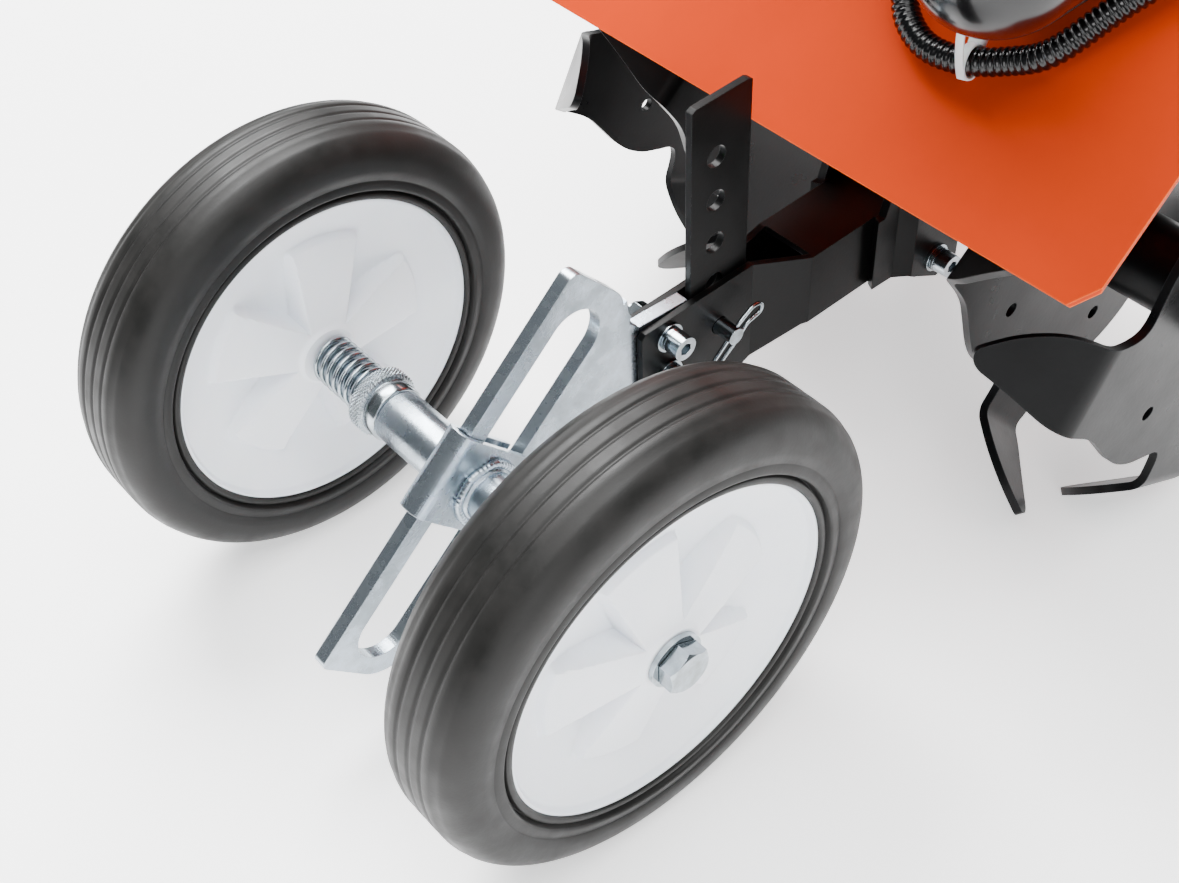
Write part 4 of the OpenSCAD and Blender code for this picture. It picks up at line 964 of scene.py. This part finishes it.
@dataclass
class TineSet:
    """Two stars with bent blades on one hub tube. Sizes in millimetres, angles in degrees."""

    side: Side
    stars: tuple[tuple[float, float, int], ...] = ((78.0, 61.0, 1), (141.0, 80.0, -1))
    sheet: float = 3.5
    arm_in: tuple[float, float] = (-11.0, 86.0)
    arm_out: tuple[float, float] = (10.4, 98.0)
    web: tuple[tuple[float, float], ...] = (
        (19, 83), (28, 78), (44, 75), (56, 72), (66, 68), (74, 66), (78.3, 70),
    )
    fold_angle: float = 50.0
    fold_radius: float = 9.0
    fold_steps: int = 8
    blade_edge: tuple[tuple[float, float], ...] = (
        (-0.5, 10.0), (1.5, 20.0), (6.5, 31.0), (13.0, 39.5), (16.6, 43.4), (22.4, 41.2), (25.5, 32.0),
        (30.0, 20.0), (34.6, 9.0),
    )
    hole_ring: float = 52.0
    hole_radius: float = 3.2
    hub_radius: float = 17.0
    hub_bore: float = 12.7
    hub_ends: tuple[float, float] = (38.0, 172.0)

    def _bend_line(self) -> tuple[Vector, Vector, Vector]:
        """Return one end of an arm's bend line, its direction and the direction outwards."""
        start = self._polar(*self.arm_in)
        along = (self._polar(*self.arm_out) - start).normalized()
        return start, along, Vector((along.y, -along.x))

    @staticmethod
    def _polar(angle: float, radius: float) -> Vector:
        """Return the flat point at an angle in degrees and a radius."""
        turn = math.radians(angle)
        return Vector((radius * math.cos(turn), radius * math.sin(turn)))

    def outline(self) -> list[Vector]:
        """Return the unfolded star's edge with its corners cut round."""
        start, along, outward = self._bend_line()
        quarter = [start - outward * 3.0]
        quarter += [start + along * place + outward * reach for place, reach in self.blade_edge]
        quarter += [self._polar(*self.arm_out)]
        quarter += [self._polar(angle, radius) for angle, radius in self.web]
        edge: list[Vector] = []
        for q in range(4):
            turn = Matrix.Rotation(math.radians(90 * q), 2)
            edge += [turn @ point for point in quarter]
        for _ in range(2):
            count = len(edge)
            edge = [
                edge[k].lerp(edge[(k + 1) % count], share) for k in range(count) for share in (0.25, 0.75)
            ]
        return edge

    def _circle(self, centre: Vector, radius: float, steps: int) -> list[Vector]:
        """Return a round hole's edge."""
        return [centre + self._polar(360 * k / steps, radius) for k in range(steps)]

    def _fold(self, point: Vector, hand: int) -> Vector:
        """Return where a point of the unfolded star lies after bending.

        Args:
            point: flat point, with its height as third coordinate.
            hand: 1 or -1, the side that the blades bend to.

        Returns:
            The bent point.
        """
        start, along, outward = self._bend_line()
        angle = math.radians(self.fold_angle)
        before = self.fold_radius * math.tan(angle / 2)
        for q in range(4):
            back = Matrix.Rotation(math.radians(-90 * q), 2) @ Vector((point.x, point.y))
            reach = (back - start).dot(outward) + before
            place = (back - start).dot(along)
            if reach <= 0 or not -12 < place < 48 or back.length < 78:
                continue
            arc = min(reach / self.fold_radius, angle)
            rest = reach - self.fold_radius * arc if arc >= angle else 0.0
            flat = self.fold_radius * math.sin(arc) + rest * math.cos(angle) - before
            height = self.fold_radius * (1 - math.cos(arc)) + rest * math.sin(angle)
            bent = Matrix.Rotation(math.radians(90 * q), 2) @ (start + along * place + outward * flat)
            return Vector((bent.x, bent.y, hand * height))
        return Vector((point.x, point.y, 0.0))

    def build_star(self, place: float, phase: float, hand: int) -> bpy.types.Object:
        """Cut, bend and thicken one star.

        Args:
            place: distance of its middle plane from the machine's middle.
            phase: angle of its first arm above the forward direction.
            hand: 1 bends the blades outwards, -1 inwards.

        Returns:
            The star.
        """
        build = bmesh.new()
        loops = [self.outline(), self._circle(Vector((0, 0)), self.hub_radius - 1.0, 40)]
        for q in range(4):
            loops.append(self._circle(self._polar(90 * q + 40, self.hole_ring), self.hole_radius, 20))
        for loop in loops:
            verts = [build.verts.new((p.x, p.y, 0.0)) for p in loop]
            for k, vert in enumerate(verts):
                build.edges.new((vert, verts[(k + 1) % len(verts)]))
        bmesh.ops.triangle_fill(build, use_beauty=True, edges=build.edges[:])
        start, _, outward = self._bend_line()
        angle = math.radians(self.fold_angle)
        before = self.fold_radius * math.tan(angle / 2)
        for q in range(4):
            turn = Matrix.Rotation(math.radians(90 * q), 2)
            normal = turn @ outward
            for k in range(self.fold_steps + 1):
                point = turn @ (start + outward * (self.fold_radius * angle * k / self.fold_steps - before))
                bmesh.ops.bisect_plane(
                    build,
                    geom=build.verts[:] + build.edges[:] + build.faces[:],
                    plane_co=(point.x, point.y, 0.0),
                    plane_no=(normal.x, normal.y, 0.0),
                )
        for vert in build.verts:
            vert.co = self._fold(vert.co, hand * self.side.value)
        bmesh.ops.recalc_face_normals(build, faces=build.faces)
        build.normal_update()
        for vert, normal in [(v, v.normal.copy()) for v in build.verts]:
            vert.co += normal * self.sheet / 2
        bmesh.ops.solidify(build, geom=build.faces[:], thickness=self.sheet)
        shaft = centre_of("tine_shaft")
        turn = math.radians(phase)
        points = []
        for vert in build.verts:
            y = vert.co.x * math.cos(turn) - vert.co.y * math.sin(turn)
            z = vert.co.x * math.sin(turn) + vert.co.y * math.cos(turn)
            points.append((
                (self.side.value * place + vert.co.z) * MM, shaft.y + y * MM, shaft.z + z * MM,
            ))
        build.verts.index_update()
        faces = [[v.index for v in face.verts] for face in build.faces]
        build.free()
        name = f"bent_star_{self.side.name.lower()}_{round(place)}"
        piece = mesh_piece(name, points, faces, Finishes.tine_paint)
        piece.data.set_sharp_from_angle(angle=math.radians(38))
        return settle(piece, "rotor", "tine_steel", f"tine_set_{self.side.name.lower()}")

    def build_hub(self) -> None:
        """Make the hub tube with a collar and a weld bead at each star."""
        shaft = centre_of("tine_shaft")
        middle = (0.0, shaft.y, shaft.z)
        near, far = self.hub_ends
        collar = self.hub_radius + 2.5
        outline = [(self.hub_bore, near), (self.hub_radius, near)]
        for place, _, _ in self.stars:
            outline += [(self.hub_radius, place - 5), (collar, place - 5), (collar, place + 5),
                        (self.hub_radius, place + 5)]
        outline += [(self.hub_radius, far), (self.hub_bore, far)]
        outline = [(r * MM, self.side.value * x * MM) for r, x in outline]
        name = self.side.name.lower()
        tube = spin_x(f"tine_hub_{name}", outline, middle, Finishes.tine_paint, 64)
        tube.data.set_sharp_from_angle(angle=math.radians(40))
        settle(tube, "rotor", "tine_steel", f"tine_set_{name}")
        for place, _, _ in self.stars:
            path = []
            steps = 120
            for i in range(steps + 1):
                angle = 2 * math.pi * i / steps
                path.append(Vector((
                    self.side.value * (place + 2.6) * MM,
                    shaft.y + collar * MM * math.cos(angle),
                    shaft.z + collar * MM * math.sin(angle),
                )))
            radii = [(1.5 + 0.25 * math.sin(i * 1.7)) * MM for i in range(steps + 1)]
            bead = sweep(f"star_weld_{name}_{round(place)}", path, radii, 8, Finishes.tine_paint)
            settle(bead, "rotor", "tine_steel", f"tine_set_{name}")

    def build(self) -> None:
        """Make both stars and their hub."""
        for place, phase, hand in self.stars:
            self.build_star(place, phase, hand)
        self.build_hub()


@dataclass
class Rotor:
    """Tines and everything that drives them."""

    frame: dict[str, Any]

    def build(self) -> None:
        """Make the tine sets and dress the gearbox and its inner pieces."""
        for side in Side:
            TineSet(side).build()
        dress(self.frame, Finishes.cast_aluminium, ["gearbox_left", "gearbox_right", "clutch_housing"])
        dress(self.frame, Finishes.zinc_turned, ["tine_shaft", "tine_lock_pins", "worm", "shaft_bearings",
                                                 "gearbox_bolts", "guard_bolts", "clutch_drum", "crankshaft"])
        dress(self.frame, Finishes.gear_bronze, ["worm_wheel", "clutch_shoes"])
        dress(self.frame, Finishes.black_nylon, ["shaft_seals"])
        dress(self.frame, Finishes.guard_powder, ["guard"], smooth_angle=20)


@dataclass
class Engine:
    """The small two-stroke engine and its covers."""

    frame: dict[str, Any]

    def build(self) -> None:
        """Dress the engine's pieces."""
        dress(self.frame, Finishes.cast_aluminium, ["crankcase", "cylinder", "carburettor", "flywheel"])
        dress(self.frame, Finishes.guard_powder, ["engine_cowl"])
        dress(self.frame, Finishes.exhaust_paint, ["muffler"])
        dress(self.frame, Finishes.glazed_ceramic, ["spark_plug"])
        dress(self.frame, Finishes.black_nylon, ["plug_cap", "air_filter_cover", "fuel_cap", "starter_cover",
                                                 "starter_handle"])
        dress(self.frame, Finishes.gloss_polymer, ["fuel_tank"])
        dress(self.frame, Finishes.tie_nylon, ["recoil_pulley"])
        dress(self.frame, Finishes.red_nylon, ["choke_lever"])


# ------------------------------------------------------------------ handlebar and conduit


@dataclass
class Handlebar:
    """Stem, handlebar, ribbed grips and controls. Sizes in millimetres."""

    frame: dict[str, Any]
    grip_end: Point = (205.0, -369.0, 842.0)
    elbow: Point = (165.0, -190.0, 800.0)
    grip_length: float = 112.0
    grip_radius: float = 15.5
    flange_radius: float = 20.0
    bore_radius: float = 11.05
    rib_count: int = 20
    steps: int = 64

    def build_grip(self, side: Side) -> None:
        """Mould one grip with its flange and ribs.

        Args:
            side: which hand's grip.
        """
        end = Vector((side.value * self.grip_end[0], self.grip_end[1], self.grip_end[2])) * MM
        inner = Vector((side.value * self.elbow[0], self.elbow[1], self.elbow[2])) * MM
        ahead = (inner - end).normalized()
        outline = [(0.0, 0.0), (10.0, 0.0), (12.6, 0.5), (14.4, 2.2), (self.grip_radius - 0.2, 5.0)]
        start, stop = 9.0, self.grip_length - 10.0
        pitch = (stop - start) / self.rib_count
        for i in range(self.rib_count):
            foot = start + i * pitch
            outline += [(self.grip_radius, foot), (self.grip_radius, foot + 0.55 * pitch),
                        (self.grip_radius - 0.9, foot + 0.65 * pitch),
                        (self.grip_radius - 0.9, foot + 0.9 * pitch)]
        top = self.grip_length + 4.0
        outline += [(self.grip_radius, stop), (self.grip_radius, top - 7.5),
                    (self.grip_radius + 1.2, top - 5.6),
                    (self.flange_radius - 0.6, top - 5.0), (self.flange_radius, top - 4.0),
                    (self.flange_radius, top - 0.8), (self.flange_radius - 0.8, top), (self.bore_radius, top),
                    (self.bore_radius, 6.0), (0.0, 6.0)]
        turn = ahead.to_track_quat("Z", "Y").to_matrix().to_4x4()
        place = Matrix.Translation(end) @ turn
        points: list[Vector] = []
        count = len(outline)
        for i in range(self.steps):
            angle = 2 * math.pi * i / self.steps
            for radius, along in outline:
                round_point = Vector((radius * math.cos(angle), radius * math.sin(angle), along))
                points.append(place @ (round_point * MM))
        faces = [
            (i * count + k, i * count + k + 1, ((i + 1) % self.steps) * count + k + 1,
             ((i + 1) % self.steps) * count + k)
            for i in range(self.steps)
            for k in range(count - 1)
        ]
        piece = mesh_piece(f"ribbed_grip_{side.name.lower()}", points, faces, Finishes.grip_vinyl)
        piece.data.set_sharp_from_angle(angle=math.radians(45))
        settle(piece, "frame", "grip_rubber", "grips")

    def build(self) -> None:
        """Make both grips and dress the rest."""
        for side in Side:
            self.build_grip(side)
        dress(self.frame, Finishes.black_enamel, ["handle_stem", "handlebar"])
        dress(self.frame, Finishes.zinc_turned, ["stem_bolts"])
        dress(self.frame, Finishes.black_nylon, ["throttle_housing", "safety_lever"])
        dress(self.frame, Finishes.red_nylon, ["throttle_lever", "stop_switch"])


@dataclass
class Conduit:
    """Corrugated conduit from the grip to the engine, and its ties. Sizes in millimetres."""

    radius: float = 5.0
    pitch: float = 2.6
    depth: float = 0.75
    rings_per_pitch: int = 6
    sides: int = 20
    route: tuple[Point, ...] = (
        (175, -234.8, 788), (171, -216, 781), (158, -193, 763), (128, -172, 732), (92, -158, 700),
        (58, -148, 676), (30, -112, 646), (25, -56, 604), (22.5, 0, 542.6), (22.5, 56, 479.6),
        (23.5, 112, 420),
        (28, 160, 378), (29, 184, 336), (29, 188, 298), (27, 176, 262), (31, 165, 239), (45, 158, 231),
        (62, 158, 231), (79, 163, 236), (92, 167, 244), (104, 180, 260), (122, 198, 284), (129, 220, 314),
        (118, 240, 344), (90, 258, 360), (66, 262, 362.2), (50.1, 262, 362.2),
    )
    stem_radius: float = 16.0
    tail: tuple[Point, ...] = (
        (0, -5.4, -3.6), (0, -6.4, 2), (0.4, -6.8, 10), (1.6, -6.6, 19), (4.2, -6.2, 27), (7.4, -6, 33),
    )

    def build_ties(self) -> None:
        """Make the tie round the loop with its long tail, and the two round the stem."""
        turn = Matrix.Rotation(math.radians(9), 4, "Z") @ Matrix.Rotation(math.radians(-8), 4, "Y")
        place = Matrix.Translation(Vector((66, 158.8, 231.8))) @ turn
        wide = (turn @ Vector((1, 0, 0))).normalized()
        reach = self.radius + 0.9
        ring = [place @ Vector((0, reach * math.cos(a), reach * math.sin(a))) for a in self._turn(40)]
        ribbon("loop_tie", ring, wide, (3.2, 1.1), True)
        tail = [place @ Vector(p) for p in self.tail]
        ribbon("loop_tie_tail", [p / MM for p in curve_through(tail, 8)], wide, (3.0, 1.0), False)
        back = Vector((0, math.sqrt(0.5), math.sqrt(0.5)))
        head = [place @ (back * (self.radius + 0.8 + step)) for step in (0.0, 0.5, 4.0, 4.5)]
        ribbon("loop_tie_head", head, wide, (5.2, 5.0), False)
        for number, centre in enumerate(((0, 0, 542.6), (0, 56, 479.6))):
            along = Vector((0, 56, -63)).normalized()
            up = Vector((1, 0, 0)).cross(along)
            stem, tube, apart = self.stem_radius + 0.95, self.radius + 0.95, 22.5
            lean = math.acos((stem - tube) / apart)
            path = []
            for k in range(33):
                a = lean + k * (2 * math.pi - 2 * lean) / 32
                path.append(Vector(centre) + Vector((stem * math.cos(a), 0, 0)) + up * (stem * math.sin(a)))
            for k in range(13):
                a = -lean + k * 2 * lean / 12
                out = Vector((apart + tube * math.cos(a), 0, 0))
                path.append(Vector(centre) + out + up * (tube * math.sin(a)))
            ribbon(f"stem_tie_{number}", path, along, (3.4, 1.1), True)

    @staticmethod
    def _turn(steps: int) -> list[float]:
        """Return angles once round."""
        return [2 * math.pi * k / steps for k in range(steps)]

    def build(self) -> None:
        """Make the corrugated tube and its ties."""
        path = even_steps(curve_through(self.route, 12), self.pitch * MM / self.rings_per_pitch)
        ring = 2 * math.pi / self.rings_per_pitch
        radii = [
            (self.radius - self.depth * (0.5 - 0.5 * math.cos(ring * i)) ** 1.5) * MM
            for i in range(len(path))
        ]
        piece = sweep("corrugated_conduit", path, radii, self.sides, Finishes.gloss_polymer)
        settle(piece, "frame", "gloss_black", "control_conduit")
        self.build_ties()


# ------------------------------------------------------------------ studio


@dataclass
class Studio:
    """Pale floor, soft lights and the camera. Places in metres."""

    eye: Point = (0.3628, -0.2542, 0.5852)
    gaze: Point = (-0.574, 0.341, -0.745)
    across: Point = (0.608, 0.786, -0.109)
    lens: float = 51.68
    shift: tuple[float, float] = (0.134, 0.035)
    floor_half: float = 60.0

    def build_floor(self) -> None:
        """Lay the floor that the machine stands on."""
        h = self.floor_half
        corners = [(-h, -h, 0), (h, -h, 0), (h, h, 0), (-h, h, 0)]
        floor = mesh_piece("studio_floor", corners, [(0, 1, 2, 3)], Finishes.studio_paper, smooth=False)

    def build_light(self, name: str, place: Point, target: Point, size: float, power: float) -> None:
        """Hang one soft square light.

        Args:
            name: the light's name.
            place: where it hangs.
            target: the point it faces.
            size: length of its side.
            power: its power in watts.
        """
        data = bpy.data.lights.new(name, "AREA")
        data.shape = "SQUARE"
        data.size = size
        data.energy = power
        light = bpy.data.objects.new(name, data)
        light.location = place
        light.rotation_mode = "QUATERNION"
        light.rotation_quaternion = (Vector(target) - Vector(place)).to_track_quat("-Z", "Y")
        bpy.context.scene.collection.objects.link(light)

    def build_world(self) -> None:
        """Fill the room with even white light."""
        world = bpy.data.worlds.new("studio_air")
        world.use_nodes = True
        world.node_tree.nodes["Background"].inputs["Color"].default_value = linear("#f4f7fb")
        world.node_tree.nodes["Background"].inputs["Strength"].default_value = 0.25
        bpy.context.scene.world = world

    def build_camera(self) -> None:
        """Set the camera that frames the wheels and the rear of the machine."""
        data = bpy.data.cameras.new("camera")
        data.lens = self.lens
        data.sensor_width = 36.0
        data.shift_x, data.shift_y = self.shift
        data.clip_start = 0.01
        camera = bpy.data.objects.new("camera", data)
        gaze = Vector(self.gaze).normalized()
        across = Vector(self.across)
        across = (across - across.dot(gaze) * gaze).normalized()
        up = across.cross(gaze)
        turn = Matrix((across, up, -gaze)).transposed().to_4x4()
        camera.matrix_world = Matrix.Translation(self.eye) @ turn
        bpy.context.scene.collection.objects.link(camera)
        bpy.context.scene.camera = camera

    def build(self) -> None:
        """Make the whole studio."""
        self.build_floor()
        self.build_world()
        self.build_light("key_light", (-1.1, 0.5, 1.9), (0, 0, 0.1), 1.5, 200)
        self.build_light("top_light", (0.5, -0.2, 2.6), (0, 0, 0.1), 2.0, 120)
        self.build_light("low_light", (1.9, -0.9, 0.9), (0, 0, 0.1), 1.2, 24)
        self.build_camera()


def main(frame: dict[str, Any]) -> None:
    """Build every sub-assembly and the studio.
    """
    logging.basicConfig(level=logging.INFO, format="%(name)s: %(message)s")
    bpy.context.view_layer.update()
    for side in Side:
        TransportWheel(side).build()
    Carriage(frame).build()
    DragBar(frame).build()
    Rotor(frame).build()
    Engine(frame).build()
    Handlebar(frame).build()
    Conduit().build()
    Studio().build()
    bpy.context.view_layer.update()


if __name__ == "__main__":
    main(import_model())
